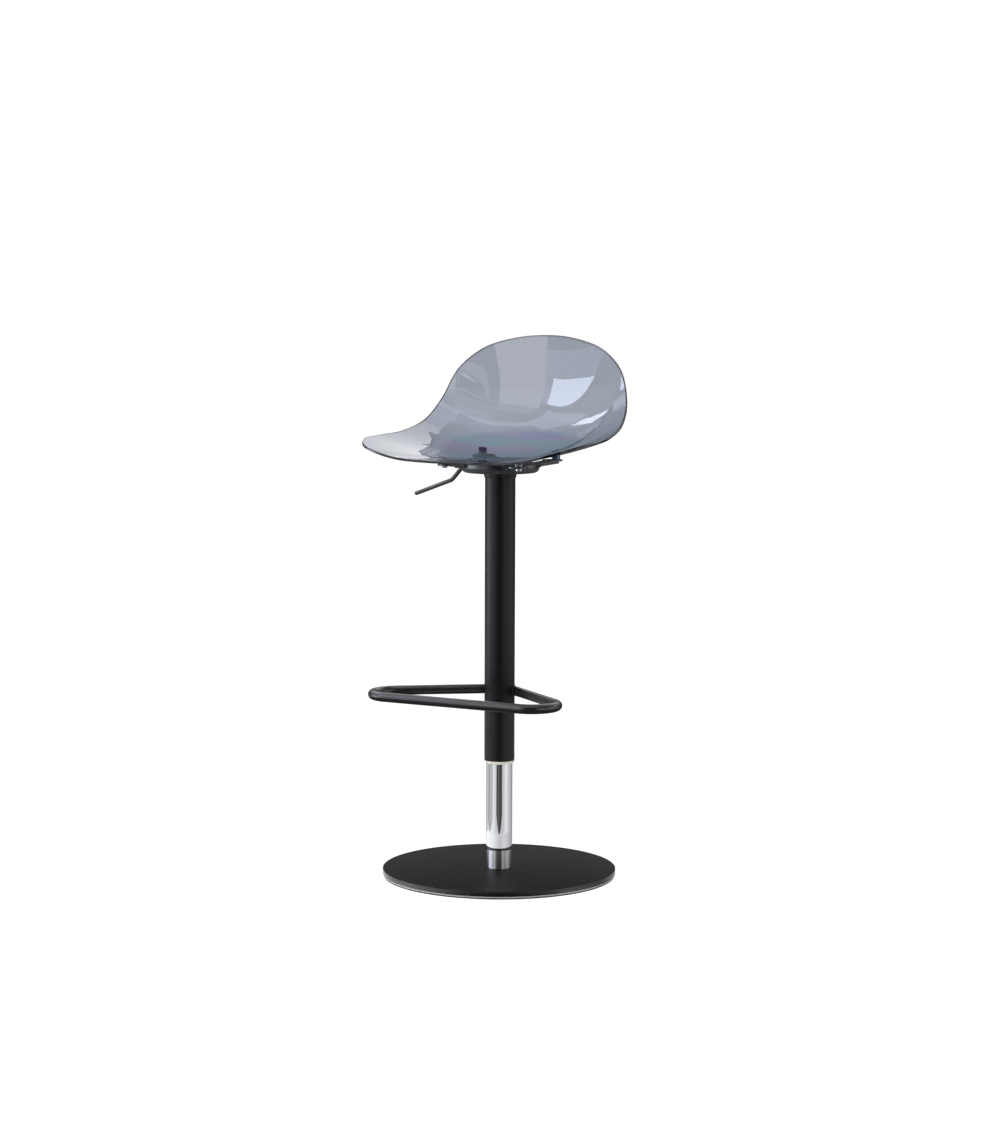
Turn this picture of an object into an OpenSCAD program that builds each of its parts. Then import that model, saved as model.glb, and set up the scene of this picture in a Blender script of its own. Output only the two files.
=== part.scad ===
// Height-adjustable swivel stool with a clear low-backed seat shell, a gas lift and a welded foot ring.
// Millimetres. +Z is up, the floor is z = 0, the column stands on the Z axis and the stool faces -Y.
// It is drawn with the seat fully raised.

/* [Base] */
// Diameter of the round base plate
base_d = 440; // [400:1:480]
// Thickness of the base plate
base_t = 9.5; // [8:0.1:12]
// Bevel along the plate's upper edge
base_bevel = 0.8; // [0.4:0.1:1.5]
// Thickness of the clear gasket round the plate's lower edge
gasket_t = 2.7; // [2:0.1:4]
// Width of the gasket ring
gasket_w = 14; // [8:0.5:20]
// How far the gasket stays inside the plate's edge
gasket_inset = 0.5; // [0:0.1:2]
// Thickness of the floor pad under the gasket
pad_rim_t = 2.5; // [2:0.1:4]
// How far the pad stays inside the gasket's edge
pad_inset = 1.5; // [1:0.1:4]

/* [Spigot] */
// Diameter of the spigot's post
spigot_d = 45.8; // [45:0.1:47]
// How far the post shows between the plate and the stand tube
spigot_rise = 35.3; // [25:0.1:45]
// How far the post reaches up inside the stand tube
spigot_insert = 55; // [40:1:70]
// Bore of the spigot, in which the lowered gas cylinder stands
spigot_bore = 32; // [30:0.5:36]
// Diameter of the flange in the plate's underside
spigot_flange_d = 96; // [80:1:120]
// Thickness of that flange
spigot_flange_t = 4.6; // [4:0.1:5]
// Height of the room for the rod's clip under the spigot's floor
clip_room = 3; // [2.5:0.1:3.5]
// Thickness of the spigot's floor
spigot_floor_t = 6; // [5:0.1:8]
// Pitch circle of the flange screws
flange_screw_pcd = 74; // [66:1:80]
// Thread diameter of the flange screws
flange_screw_d = 5; // [4:0.5:6]
// Length of the flange screws
flange_screw_len = 7.5; // [6:0.5:7.5]

/* [Stand tube] */
// Outer diameter of the stand tube
stand_d = 50; // [49:0.1:51]
// Wall of the stand tube
stand_wall = 2; // [1.8:0.1:2.2]
// Height of the cone at its lower end
stand_cone_h = 5; // [3:0.5:8]
// Wall left at the cone's lower rim
stand_cone_wall = 0.7; // [0.5:0.1:1.2]
// How far the stand tube reaches up inside the outer tube
stand_overlap = 280; // [240:1:300]
// Length of the bush that guides the gas cylinder
guide_len = 80; // [60:1:90]
// Length of the slide ring on top of the stand tube
slide_ring_len = 28; // [20:1:40]
// Thickness of the slide ring's lip over the tube's end
slide_lip_t = 3; // [2:0.1:4]

/* [Gas lift] */
// Travel of the seat
travel = 160; // [140:1:165]
// Diameter of the gas cylinder
gas_d = 28; // [27:0.1:29]
// Wall of the gas cylinder
gas_wall = 1.5; // [1.2:0.1:2]
// Length of the cone at the cylinder's upper end
gas_cone_len = 50; // [40:1:52]
// How much the cone's radius shrinks for each millimetre of height
gas_cone_slope = 0.0251; // [0.02:0.0001:0.03]
// Length of the solid head above the gas space
gas_head_len = 25; // [20:1:35]
// Length of the rod seal in the cylinder's mouth
seal_len = 18; // [12:1:25]
// Diameter of the piston rod
rod_d = 10; // [9:0.5:11]
// Diameter of the rod's lower end, below its shoulder
rod_end_d = 8; // [7:0.1:8.5]
// Length of the piston
piston_len = 14; // [10:1:20]
// Room between the piston and the seal with the seat raised
piston_gap = 2; // [1:0.5:4]
// How far the rod's riveted end stands out of the piston
rod_tip = 2; // [1:0.5:3]
// Width of the rolled lip that holds the seal in the cylinder
gas_lip = 1; // [0.8:0.1:1.5]
// Diameter of the bearing races
race_d = 26; // [24:0.5:28]
// Thickness of a bearing race
race_t = 1.5; // [1.2:0.1:2]
// Diameter of the bearing balls
ball_d = 4; // [3:0.1:4.5]
// Number of bearing balls
ball_count = 12; // [8:1:13]
// How far the balls stay inside the races' edge
ball_inset = 1; // [0.5:0.1:1.2]
// Height of the rubber bumper
bumper_h = 18; // [12:1:22]
// Room between the bumper and the fully lowered cylinder
bumper_gap = 15; // [5:1:25]
// Thickness of the rod clip
clip_t = 1; // [0.8:0.1:1.2]
// Outer diameter of the rod clip
clip_d = 14; // [12:0.5:16]
// Depth of the groove that the clip sits in
groove_depth = 0.8; // [0.5:0.1:1]
// Diameter of the release button
button_d = 6; // [5:0.1:7]
// How far the button stands out of the cylinder
button_rise = 4.9; // [4:0.1:6]
// Room under the button in the cylinder's head
button_room = 3; // [2.8:0.1:4]

/* [Outer tube] */
// Outer diameter of the outer tube
tube_d = 57; // [56:0.1:59]
// Wall of the outer tube
tube_wall = 1.5; // [1.2:0.1:2]
// Height of the tube's lower end above the floor, with the seat raised
tube_bottom_z = 220; // [215:1:240]
// Length of the outer tube
tube_len = 545.6; // [520:0.1:600]
// Height of the bush flange that shows below the tube
bush_flange_h = 5.4; // [3:0.1:7]
// How far the flange stays inside the tube's outer face
bush_flange_inset = 0.3; // [0.1:0.1:0.6]
// Length of the bush inside the tube
bush_len = 30; // [20:1:45]
// Height of the bush screw above the tube's lower end
bush_screw_z = 10; // [8:0.5:20]
// Direction of the bush screw, in degrees from +X
bush_screw_angle = 30; // [0:1:60]
// Diameter of the bush screw
bush_screw_d = 3.2; // [2.5:0.1:5]
// How far the bush screw stands proud of the tube
bush_screw_rise = 0.4; // [0.2:0.1:1]

/* [Foot ring] */
// Diameter of the foot ring's bar
ring_bar_d = 18; // [16:0.5:20]
// Height of the bar's middle above the floor
ring_z = 352; // [330:1:380]
// Distance of the front bar's middle from the column's axis
ring_front = 184; // [170:1:200]
// Half the distance between the middles of the two bends
ring_bend_x = 140; // [120:1:150]
// Bend radius of the bar's middle
ring_bend_r = 48; // [40:1:60]
// Angle between each side bar and the stool's middle plane
ring_side_angle = 53; // [50:0.5:56]

/* [Bracket] */
// Diameter of the cone housing
housing_d = 38; // [36:0.5:42]
// Length of the cone housing below the channel
housing_len = 50; // [45:1:52]
// How far the housing stands into the channel
housing_stands = 0.8; // [0.4:0.1:1]
// Depth of the gas cylinder's top in the housing
gas_inset = 3.4; // [2.5:0.1:4.5]
// Thickness of the channel's sheet
channel_t = 2.5; // [2:0.1:3]
// Outer width of the channel across the stool
channel_w = 56; // [54:0.5:70]
// Length of the channel along the lever
channel_len = 84; // [70:1:100]
// Thickness of the bracket's plate
plate_t = 3; // [2.5:0.1:4]
// Diameter of the bracket's round middle
plate_d = 152; // [140:1:160]
// Depth of the turned-down flange, with the plate
plate_skirt = 6.5; // [5:0.1:8]
// Width of each arm
arm_w = 40; // [32:1:44]
// How far the arms' channels reach inside the round middle's rim
arm_overlap = 6; // [4:0.5:10]
// How far an arm's tongue reaches past its screw
arm_tongue = 12; // [9:0.5:18]
// Width of an arm's tongue
tongue_w = 38; // [30:0.5:42]
// How far before its screw a front arm's flanges end
front_flange_end = 16; // [10:0.5:20]
// How far before its screw a rear arm has reached its full height
rear_ramp_end = 8.5; // [8:0.5:12]
// How much higher the rear arms lie
arm_step = 6; // [4:0.1:7]
// Half the distance between left and right seat screws
screw_x = 79; // [72:0.5:84]
// Distance of the seat screws in front of and behind the axis
screw_y = 73; // [66:0.5:78]
// Thread diameter of the seat screws
seat_screw_d = 6; // [5:0.5:6]
// Diameter of the seat screws' heads
seat_screw_head_d = 12; // [10:0.5:13]
// Height of the seat screws' heads
seat_screw_head_h = 4; // [3:0.1:5]
// Room round each seat screw in the bracket
seat_screw_play = 0.3; // [0.2:0.05:0.5]

/* [Cover and collar] */
// Diameter of the cover dish at its rim
dish_d = 146; // [140:1:148]
// Wall of the cover dish
dish_wall = 2.5; // [2:0.1:3]
// Radius of the dish's lower corner
dish_corner_r = 9; // [6:0.5:10]
// Diameter of the collar under the dish
collar_d = 61; // [60:0.5:66]
// Height of the collar
collar_h = 9.6; // [7:0.1:11]
// Height of the bevel round the collar's lower half
collar_bevel_h = 4.8; // [3:0.1:5]
// Width left at the collar's lower rim
collar_lip = 1; // [0.6:0.1:1.4]
// Slit in the lug that the screw closes
collar_slit = 1.2; // [0.8:0.1:2]
// Length of the collar's clamping lug
lug_len = 15.5; // [12:0.5:22]
// Height of the lug
lug_h = 8.5; // [7:0.1:10]
// How far the lug reaches out from the collar
lug_out = 6; // [4:0.1:8]
// Direction of the lug, in degrees from +X
lug_angle = -43; // [-60:1:-30]
// Thread diameter of the collar screw
collar_screw_d = 4; // [3:0.1:4]
// Diameter of the collar screw's head
collar_screw_head_d = 6.4; // [6:0.1:8]
// Height of the collar screw's head
collar_screw_head_h = 2.5; // [2:0.1:4]
// How far the collar screw stands out of the lug
collar_screw_end = 1; // [0.5:0.1:2]

/* [Lever] */
// Diameter of the lever rod
lever_d = 8; // [7:0.1:9]
// Distance of the lever's pivot from the axis
lever_pivot_x = 28; // [26:0.5:32]
// Diameter of the pivot pin
pivot_pin_d = 4; // [3:0.1:4.5]
// How far the pin stands out of the channel on each side
pivot_pin_end = 1; // [0.5:0.1:2]
// Room on each side of the lever in its slots
slot_play = 2; // [1:0.5:3]
// How far the lever's inner arm reaches past the axis
lever_inner_x = 3; // [1:0.5:5]
// Distance of the first bend's corner from the axis
lever_bend_1_x = 79; // [78:0.5:84]
// Angle of the first bend
lever_bend_1 = 48; // [40:1:55]
// Radius of the first bend
lever_bend_1_r = 10; // [8:0.5:14]
// Length of the lever between the corners of its bends
lever_middle = 36.5; // [30:0.5:42]
// Angle of the second bend, which turns back towards level
lever_bend_2 = 28; // [20:1:34]
// Radius of the second bend
lever_bend_2_r = 22; // [16:0.5:28]
// Length of the handle from the second bend's corner to its tip
lever_handle = 83; // [70:0.5:100]

/* [Seat shell] */
// Width of the seat between its side edges
seat_w = 469; // [440:1:490]
// Distance of the front edge from the column's axis
seat_front = 160; // [150:1:180]
// Distance from the front edge to the top of the back
seat_depth = 347; // [330:1:370]
// Rise of the back's upper edge over the pan
back_rise = 229.5; // [200:1:260]
// Distance of the pan's lowest point in front of the axis
pan_y = 30; // [10:1:45]
// Wall of the shell
shell_wall = 4.5; // [4:0.1:5]
// Room between the bracket's plate and the lowest point of the shell's underside
pan_gap = 2.2; // [1.5:0.1:5]
// Diameter of the shell's boss posts
boss_d = 16; // [14:0.5:18]
// Outer diameter of the threaded inserts
insert_d = 8.6; // [8:0.1:9.5]
// Length of the threaded inserts
insert_len = 5; // [4:0.5:6]
// How far a boss post's end reaches into the shell that it is welded to
boss_sink = 0.4; // [0.2:0.05:0.6]

/* [Clearances] */
// Radial clearance of fixed fits
fit = 0.05; // [0.02:0.01:0.08]
// Radial clearance of sliding fits
slide_fit = 0.08; // [0.05:0.01:0.1]
// Clearance between moving pieces that don't guide each other
air = 0.35; // [0.3:0.01:0.4]
// Gap between the lever and what it lies under or on
lever_gap = 0.3; // [0.3:0.01:0.4]
// Gap between the pieces that are clamped under the seat
seat_gap = 0.2; // [0.1:0.01:0.3]
// Room past the tips of screws
tip_room = 0.5; // [0.3:0.1:1]

/* [Hidden] */
$fn = 96;
// Cuts run this far past the faces they open
over = 1;
// Length of the ground welds in bent bars, and how far they stand proud
weld_len = 1;
weld_proud = 0.05;

// Heights of the base
base_z = pad_rim_t + gasket_t;
base_top = base_z + base_t;
floor_low = base_z + clip_room;
floor_top = floor_low + spigot_floor_t;
stand_z = base_top + spigot_rise;
stand_top = tube_bottom_z + stand_overlap;

// Radii of the column
stand_r = stand_d / 2;
stand_in_r = stand_r - stand_wall;
spigot_r = spigot_d / 2;
tube_r = tube_d / 2;
tube_in_r = tube_r - tube_wall;
gas_r = gas_d / 2;
gas_in_r = gas_r - gas_wall;
rod_r = rod_d / 2;
rod_end_r = rod_end_d / 2;
groove_r = rod_end_r - groove_depth;
race_r = race_d / 2;
button_r = button_d / 2;

// Heights of the thrust bearing and of what stands on it
lower_race_z = floor_top + fit;
ball_z = lower_race_z + race_t + fit + ball_d / 2;
upper_race_z = ball_z + ball_d / 2 + fit;
rod_shoulder_z = upper_race_z + race_t + fit;
bumper_top = rod_shoulder_z + bumper_h;
rod_low = base_z + air;
clip_z = floor_low - air - clip_t;

// Heights of the gas cylinder
gas_low = bumper_top + travel + bumper_gap;
seal_z = gas_low + gas_lip;
piston_z = seal_z + seal_len + piston_gap;
rod_top = piston_z + piston_len + rod_tip;
mount_z = tube_bottom_z + tube_len;
housing_top = mount_z + housing_stands;
gas_top = housing_top - gas_inset;
cone_z = gas_top - gas_cone_len;
button_top = gas_top + button_rise;
button_low = gas_top - gas_head_len + button_room;

// Heights of the lever and the bracket
lever_r = lever_d / 2;
lever_z = button_top + lever_gap + lever_r;
plate_under = lever_z + lever_r + lever_gap;
plate_top = plate_under + plate_t;
skirt_z = plate_top - plate_skirt;
slot_w = lever_d + 2 * slot_play;
arm_root = plate_d / 2 - plate_t - arm_overlap;
arm_angle = atan2(screw_y, screw_x);
screw_r = norm([screw_x, screw_y]);

// The cover dish and the collar under it
dish_z = mount_z - lever_gap - dish_wall;
dish_rim_z = skirt_z - seat_gap;
collar_z = dish_z - collar_h - seat_gap;

// Middle surface of the seat shell at its lowest point
pan_z = plate_top + pan_gap + shell_wall / 2;

// Outline of the shell's edge from the front centre round to the top of the back. Each row gives the share of
// half the width, of the depth behind the front edge, and of the back's rise over the pan.
edge_shape = [
    [0, 0, 0.022], [0.27, -0.004, 0.022], [0.56, -0.018, 0.044], [0.83, 0.008, 0.113],
    [0.97, 0.135, 0.168], [0.98, 0.315, 0.187], [0.935, 0.505, 0.211], [0.897, 0.7, 0.296],
    [0.845, 0.829, 0.473], [0.745, 0.896, 0.72], [0.54, 0.945, 0.895], [0.27, 0.98, 0.977], [0, 1, 1]
];
edge_half = [
    for (p = edge_shape) [p[0] * seat_w / 2, p[1] * seat_depth - seat_front, pan_z + p[2] * back_rise]
];
edge_last = len(edge_half) - 1;
edge_loop = concat(
    edge_half,
    [for (i = [edge_last - 1 : -1 : 1]) [-edge_half[i][0], edge_half[i][1], edge_half[i][2]]]
);
edge_count = len(edge_loop);

// Shares of the way to the edge at which a rib of the shell turns: for the front, and for the back
rib_start = [0.2, 0.62];
rib_end = [0.6, 0.985];
// Share of the rise that a rib has gained where it turns up: for the front, and for the back
rib_lift = [0.48, 0.06];
shell_segments = 96;
shell_rings = 16;
lip_steps = 4;
// Share of the rings that crowd towards the edge, where the shell turns up
ring_crowding = 0.35;
// How often a search on the shell halves its range
halvings = 30;

// Smooth curve through four points, between the second and the third
function through(a, b, c, d, t) =
    0.5 * (2 * b + (c - a) * t + (2 * a - 5 * b + 4 * c - d) * t * t + (3 * b - a - 3 * c + d) * t * t * t);

// Point on the shell's edge, s counting the outline's points from the front centre
function edge_point(s) =
    let (i = floor(s), n = edge_count, k = i + n)
    through(edge_loop[(k - 1) % n], edge_loop[k % n], edge_loop[(k + 1) % n], edge_loop[(k + 2) % n], s - i);

function blend(pair, t) = pair[0] + (pair[1] - pair[0]) * t;

// Point of the shell's middle surface: u runs from 0 at the pan's lowest point to 1 at the edge
function shell_point(u, s) =
    let (
        low = [0, -pan_y, pan_z],
        edge = edge_point(s),
        rise = edge[2] - pan_z,
        t = max(0, rise / back_rise),
        out = [edge[0], edge[1] + pan_y, 0],
        turn_1 = low + out * blend(rib_start, t),
        turn_2 = low + out * blend(rib_end, t) + [0, 0, rise * blend(rib_lift, t)],
        v = 1 - u
    )
    low * v * v * v + turn_1 * 3 * v * v * u + turn_2 * 3 * v * u * u + edge * u * u * u;

function unit(v) = v / norm(v);

// Upward normal of the middle surface
function shell_normal(u, s) =
    let (
        h = 0.01,
        w = max(u, 0.05),
        along = shell_point(w, s + h) - shell_point(w, s - h),
        out = shell_point(min(1, w + h), s) - shell_point(w - h, s)
    )
    u < 0.001 ? [0, 0, 1] : unit(cross(out, along));

// Direction in which the surface leaves the edge
function lip_direction(s) = unit(shell_point(1, s) - shell_point(0.98, s));

// Ring positions, closer together where the shell turns up
function ring_u(i) = sin(90 * i / shell_rings) * ring_crowding + (1 - ring_crowding) * i / shell_rings;

// Where the outline's curve crosses the direction of a point, and how far out the point lies, by halving
function edge_over(angle, a, b, n) =
    let (m = (a + b) / 2, e = edge_point(m), short = atan2(e[0], -(e[1] + pan_y)) < angle)
    n == 0 ? m : edge_over(angle, short ? m : a, short ? b : m, n - 1);
function reach_over(reach, s, a, b, n) =
    let (m = (a + b) / 2, p = shell_point(m, s), short = norm([p[0], p[1] + pan_y]) < reach)
    n == 0 ? m : reach_over(reach, s, short ? m : a, short ? b : m, n - 1);

// Outline position and ring position of the shell over a point beside the stool's middle plane
function shell_over(x, y) =
    let (s = edge_over(atan2(x, -(y + pan_y)), 0, edge_last, halvings))
    [reach_over(norm([x, y + pan_y]), s, 0, 1, halvings), s];

// The seat screws: place, and the top of the arm under each
screw_places = [
    for (sx = [1, -1], sy = [-1, 1]) [sx * screw_x, sy * screw_y, sy > 0 ? plate_top + arm_step : plate_top]
];
// Underside of the shell over the front and the rear screws, with its normal
shell_at_front = shell_over(screw_x, -screw_y);
shell_at_rear = shell_over(screw_x, screw_y);
function under_point(at) = shell_point(at[0], at[1]) - shell_normal(at[0], at[1]) * shell_wall / 2;

module ring(outer_r, inner_r, z, h) {
    translate([0, 0, z])
    difference() {
        cylinder(r = outer_r, h = h);
        translate([0, 0, -over]) cylinder(r = inner_r, h = h + 2 * over);
    }
}

// Round bar that starts at the origin and runs along +X
module bar(r, len) {
    rotate([0, 90, 0]) cylinder(r = r, h = len);
}

// Bend in a round bar that starts at the origin along +X and turns towards +Y
module bend(r, bend_r, angle) {
    translate([0, bend_r, 0])
    rotate([0, 0, -90])
    rotate_extrude(angle = angle)
    translate([bend_r, 0])
    circle(r = r);
}

// What follows a bend, drawn as if it started at the origin along +X, with the ground weld between them
module after_bend(r, bend_r, angle) {
    translate([0, bend_r, 0])
    rotate([0, 0, angle])
    translate([0, -bend_r, 0]) {
        children();
        translate([-weld_len / 2, 0, 0]) bar(r + weld_proud, weld_len);
    }
}

module base_plate() {
    recess_r = spigot_flange_d / 2 + fit;
    recess_t = spigot_flange_t + 2 * fit;
    color("#2f2f30")
    difference() {
        rotate_extrude($fn = 180)
        polygon([[spigot_r + fit, base_z], [base_d / 2, base_z], [base_d / 2, base_top - base_bevel],
                 [base_d / 2 - base_bevel, base_top], [spigot_r + fit, base_top]]);
        translate([0, 0, base_z - over]) cylinder(r = recess_r, h = recess_t + over);
        for (a = [0 : 60 : 300])
            rotate([0, 0, a])
            translate([flange_screw_pcd / 2, 0, base_z])
            cylinder(d = flange_screw_d, h = flange_screw_len + tip_room, $fn = 24);
    }
}

module edge_gasket() {
    outer_r = base_d / 2 - gasket_inset;
    color("#c9d2da", 0.7)
    ring(outer_r, outer_r - gasket_w, pad_rim_t, gasket_t, $fn = 180);
}

module floor_pad() {
    gasket_r = base_d / 2 - gasket_inset;
    color("#8a6a4a")
    rotate_extrude($fn = 180)
    polygon([[0, 0], [gasket_r - pad_inset, 0], [gasket_r - pad_inset, pad_rim_t],
             [gasket_r - gasket_w - fit, pad_rim_t], [gasket_r - gasket_w - fit, base_z], [0, base_z]]);
}

module base_spigot() {
    flange_r = spigot_flange_d / 2;
    flange_z = base_z + fit;
    flange_top = base_z + spigot_flange_t;
    post_top = stand_z + spigot_insert;
    color("#b9babb")
    difference() {
        rotate_extrude()
        polygon([[rod_end_r + air, floor_low], [race_r + air, floor_low], [race_r + air, flange_z],
                 [flange_r, flange_z], [flange_r, flange_top], [spigot_r, flange_top], [spigot_r, post_top],
                 [spigot_bore / 2, post_top], [spigot_bore / 2, floor_top], [rod_end_r + air, floor_top]]);
        for (a = [0 : 60 : 300])
            rotate([0, 0, a])
            translate([flange_screw_pcd / 2, 0, flange_z]) {
                translate([0, 0, -over])
                cylinder(d = flange_screw_d + 2 * fit, h = spigot_flange_t + 2 * over, $fn = 24);
                cylinder(d1 = 2 * flange_screw_d, d2 = flange_screw_d, h = flange_screw_d / 2, $fn = 24);
            }
    }
}

module spigot_screws() {
    color("#6f7174")
    for (a = [0 : 60 : 300])
        rotate([0, 0, a])
        translate([flange_screw_pcd / 2, 0, base_z + 2 * fit]) {
            cylinder(d1 = 2 * (flange_screw_d - 2 * fit), d2 = flange_screw_d - 4 * fit,
                     h = flange_screw_d / 2, $fn = 24);
            cylinder(d = flange_screw_d - 2 * fit, h = flange_screw_len, $fn = 24);
        }
}

module stand_tube() {
    foot_r = stand_in_r + stand_cone_wall;
    color("#dfe1e4")
    rotate_extrude()
    polygon([[stand_in_r, stand_z], [foot_r, stand_z], [stand_r, stand_z + stand_cone_h],
             [stand_r, stand_top], [stand_in_r, stand_top]]);
}

module cylinder_guide() {
    color("#e8e4d8")
    ring(stand_in_r - fit, gas_r + slide_fit, stand_top - guide_len, guide_len);
}

module slide_ring() {
    color("#e8e4d8")
    rotate_extrude()
    polygon([[stand_r + fit, stand_top - slide_ring_len], [tube_in_r - slide_fit, stand_top - slide_ring_len],
             [tube_in_r - slide_fit, stand_top + slide_lip_t], [stand_in_r, stand_top + slide_lip_t],
             [stand_in_r, stand_top], [stand_r + fit, stand_top]]);
}

module lower_race() {
    color("#c4c6c8")
    ring(race_r, rod_end_r + air, lower_race_z, race_t);
}

module bearing_balls() {
    color("#d6d8da")
    for (i = [0 : ball_count - 1])
        rotate([0, 0, 360 * i / ball_count])
        translate([race_r - ball_inset - ball_d / 2, 0, ball_z])
        sphere(d = ball_d, $fn = 24);
}

module upper_race() {
    color("#c4c6c8")
    ring(race_r, rod_end_r + fit, upper_race_z, race_t);
}

module rubber_bumper() {
    color("#1d1d1e")
    ring(race_r, rod_r + fit, rod_shoulder_z + fit, bumper_h - fit);
}

module piston_rod() {
    color("#cfd1d3")
    rotate_extrude()
    polygon([[0, rod_low], [rod_end_r, rod_low], [rod_end_r, clip_z - fit], [groove_r, clip_z - fit],
             [groove_r, clip_z + clip_t + fit], [rod_end_r, clip_z + clip_t + fit],
             [rod_end_r, rod_shoulder_z], [rod_r, rod_shoulder_z], [rod_r, rod_top], [0, rod_top]]);
}

module rod_clip() {
    clip_r = clip_d / 2;
    color("#55585c")
    difference() {
        ring(clip_r, groove_r + fit, clip_z, clip_t);
        translate([0, -groove_r, clip_z - over]) cube([clip_r + over, 2 * groove_r, clip_t + 2 * over]);
    }
}

module piston() {
    color("#9a9da1")
    ring(gas_in_r - slide_fit, rod_r + fit, piston_z, piston_len);
}

module gas_cylinder() {
    top_r = gas_r - gas_cone_len * gas_cone_slope;
    head_z = gas_top - gas_head_len;
    color("#1f2022")
    rotate_extrude()
    polygon([[gas_in_r - gas_lip, gas_low], [gas_r, gas_low], [gas_r, cone_z], [top_r, gas_top],
             [button_r + slide_fit, gas_top], [button_r + slide_fit, head_z],
             [gas_in_r, head_z - gas_in_r / 2], [gas_in_r, seal_z], [gas_in_r - gas_lip, seal_z]]);
}

module rod_seal() {
    color("#2b2b2c")
    ring(gas_in_r - fit, rod_r + slide_fit, seal_z + fit, seal_len);
}

module valve_button() {
    color("#d9dadb")
    translate([0, 0, button_low])
    cylinder(r = button_r, h = button_top - button_low);
}

module cone_housing() {
    low = mount_z - housing_len;
    low_r = gas_r - max(0, low - cone_z) * gas_cone_slope + fit;
    top_r = gas_r - (housing_top - cone_z) * gas_cone_slope + fit;
    color("#3a3b3d")
    rotate_extrude()
    polygon([[low_r, low], [housing_d / 2, low], [housing_d / 2, housing_top], [top_r, housing_top]]);
}

module outer_tube() {
    color("#1b1b1d")
    difference() {
        ring(tube_r, tube_in_r, tube_bottom_z, tube_len);
        at_bush_screw()
        translate([0, 0, -over])
        cylinder(d = bush_screw_d, h = tube_wall + 2 * over, $fn = 24);
    }
}

// Lies on the bush screw's axis, and starts at the tube's inner face
module at_bush_screw() {
    rotate([0, 0, bush_screw_angle])
    translate([tube_in_r, 0, tube_bottom_z + bush_screw_z])
    rotate([0, 90, 0])
    children();
}

module tube_bush() {
    inner_r = stand_r + slide_fit;
    flange_r = tube_r - bush_flange_inset;
    color("#e4dfd0")
    rotate_extrude()
    polygon([[inner_r, tube_bottom_z - bush_flange_h], [flange_r, tube_bottom_z - bush_flange_h],
             [flange_r, tube_bottom_z], [tube_in_r - fit, tube_bottom_z],
             [tube_in_r - fit, tube_bottom_z + bush_len], [inner_r, tube_bottom_z + bush_len]]);
}

module bush_screw() {
    color("#cfcfcf")
    at_bush_screw() cylinder(d = bush_screw_d - 2 * fit, h = tube_wall + bush_screw_rise, $fn = 24);
}

module foot_ring() {
    bar_r = ring_bar_d / 2;
    turn = 90 + ring_side_angle;
    // Each side bar runs from its bend to the tube, and would meet the middle plane a little behind the axis
    side_len = (ring_bend_x + ring_bend_r * cos(ring_side_angle)) / sin(ring_side_angle) - tube_in_r;
    color("#1b1b1d")
    difference() {
        for (m = [0, 1])
            mirror([m, 0, 0])
            translate([0, -ring_front, ring_z]) {
                bar(bar_r, ring_bend_x);
                translate([ring_bend_x, 0, 0]) {
                    bend(bar_r, ring_bend_r, turn);
                    after_bend(bar_r, ring_bend_r, turn) bar(bar_r, side_len);
                }
            }
        translate([0, 0, ring_z - ring_bar_d]) cylinder(r = tube_r + fit, h = 2 * ring_bar_d);
    }
}

module lever_channel() {
    wall_h = plate_under - mount_z;
    color("#2a2b2d")
    difference() {
        translate([-channel_len / 2, -channel_w / 2, mount_z]) cube([channel_len, channel_w, wall_h]);
        translate([-channel_len / 2 - over, -channel_w / 2 + channel_t, mount_z + channel_t])
        cube([channel_len + 2 * over, channel_w - 2 * channel_t, wall_h]);
        translate([0, 0, mount_z - over]) cylinder(r = housing_d / 2 + fit, h = channel_t + 2 * over);
        // Room for the lever's inner arm when it presses the button
        translate([-lever_pivot_x, -slot_w / 2, mount_z - over])
        cube([lever_pivot_x, slot_w, channel_t + 2 * over]);
        translate([-lever_pivot_x, -channel_w / 2 - over, lever_z])
        rotate([-90, 0, 0])
        cylinder(d = pivot_pin_d + 2 * fit, h = channel_w + 2 * over, $fn = 32);
    }
}

// Side view of an arm's channel, extruded across it: rise is how much higher the arm's end lies
module arm_profile(rise, flange_r, ramp_r, w, drop) {
    rotate([90, 0, 0])
    linear_extrude(w, center = true)
    polygon([[arm_root, skirt_z - drop], [flange_r, skirt_z + rise - drop],
             [flange_r, plate_top + rise - drop], [ramp_r, plate_top + rise - drop], [arm_root, plate_top - drop]]);
}

module arm(rise, flange_r, ramp_r) {
    tip = screw_r + arm_tongue - tongue_w / 2;
    tongue_z = plate_top + rise - plate_t;
    difference() {
        arm_profile(rise, flange_r, ramp_r, arm_w, 0);
        arm_profile(rise, flange_r, ramp_r, arm_w - 2 * plate_t, plate_t);
        // The flanges' outer end is open
        translate([flange_r - over, plate_t - arm_w / 2, skirt_z - over])
        cube([2 * over, arm_w - 2 * plate_t, tongue_z - skirt_z + over]);
    }
    translate([ramp_r, -tongue_w / 2, tongue_z]) cube([tip - ramp_r, tongue_w, plate_t]);
    translate([tip, 0, tongue_z]) cylinder(d = tongue_w, h = plate_t);
}

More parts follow.
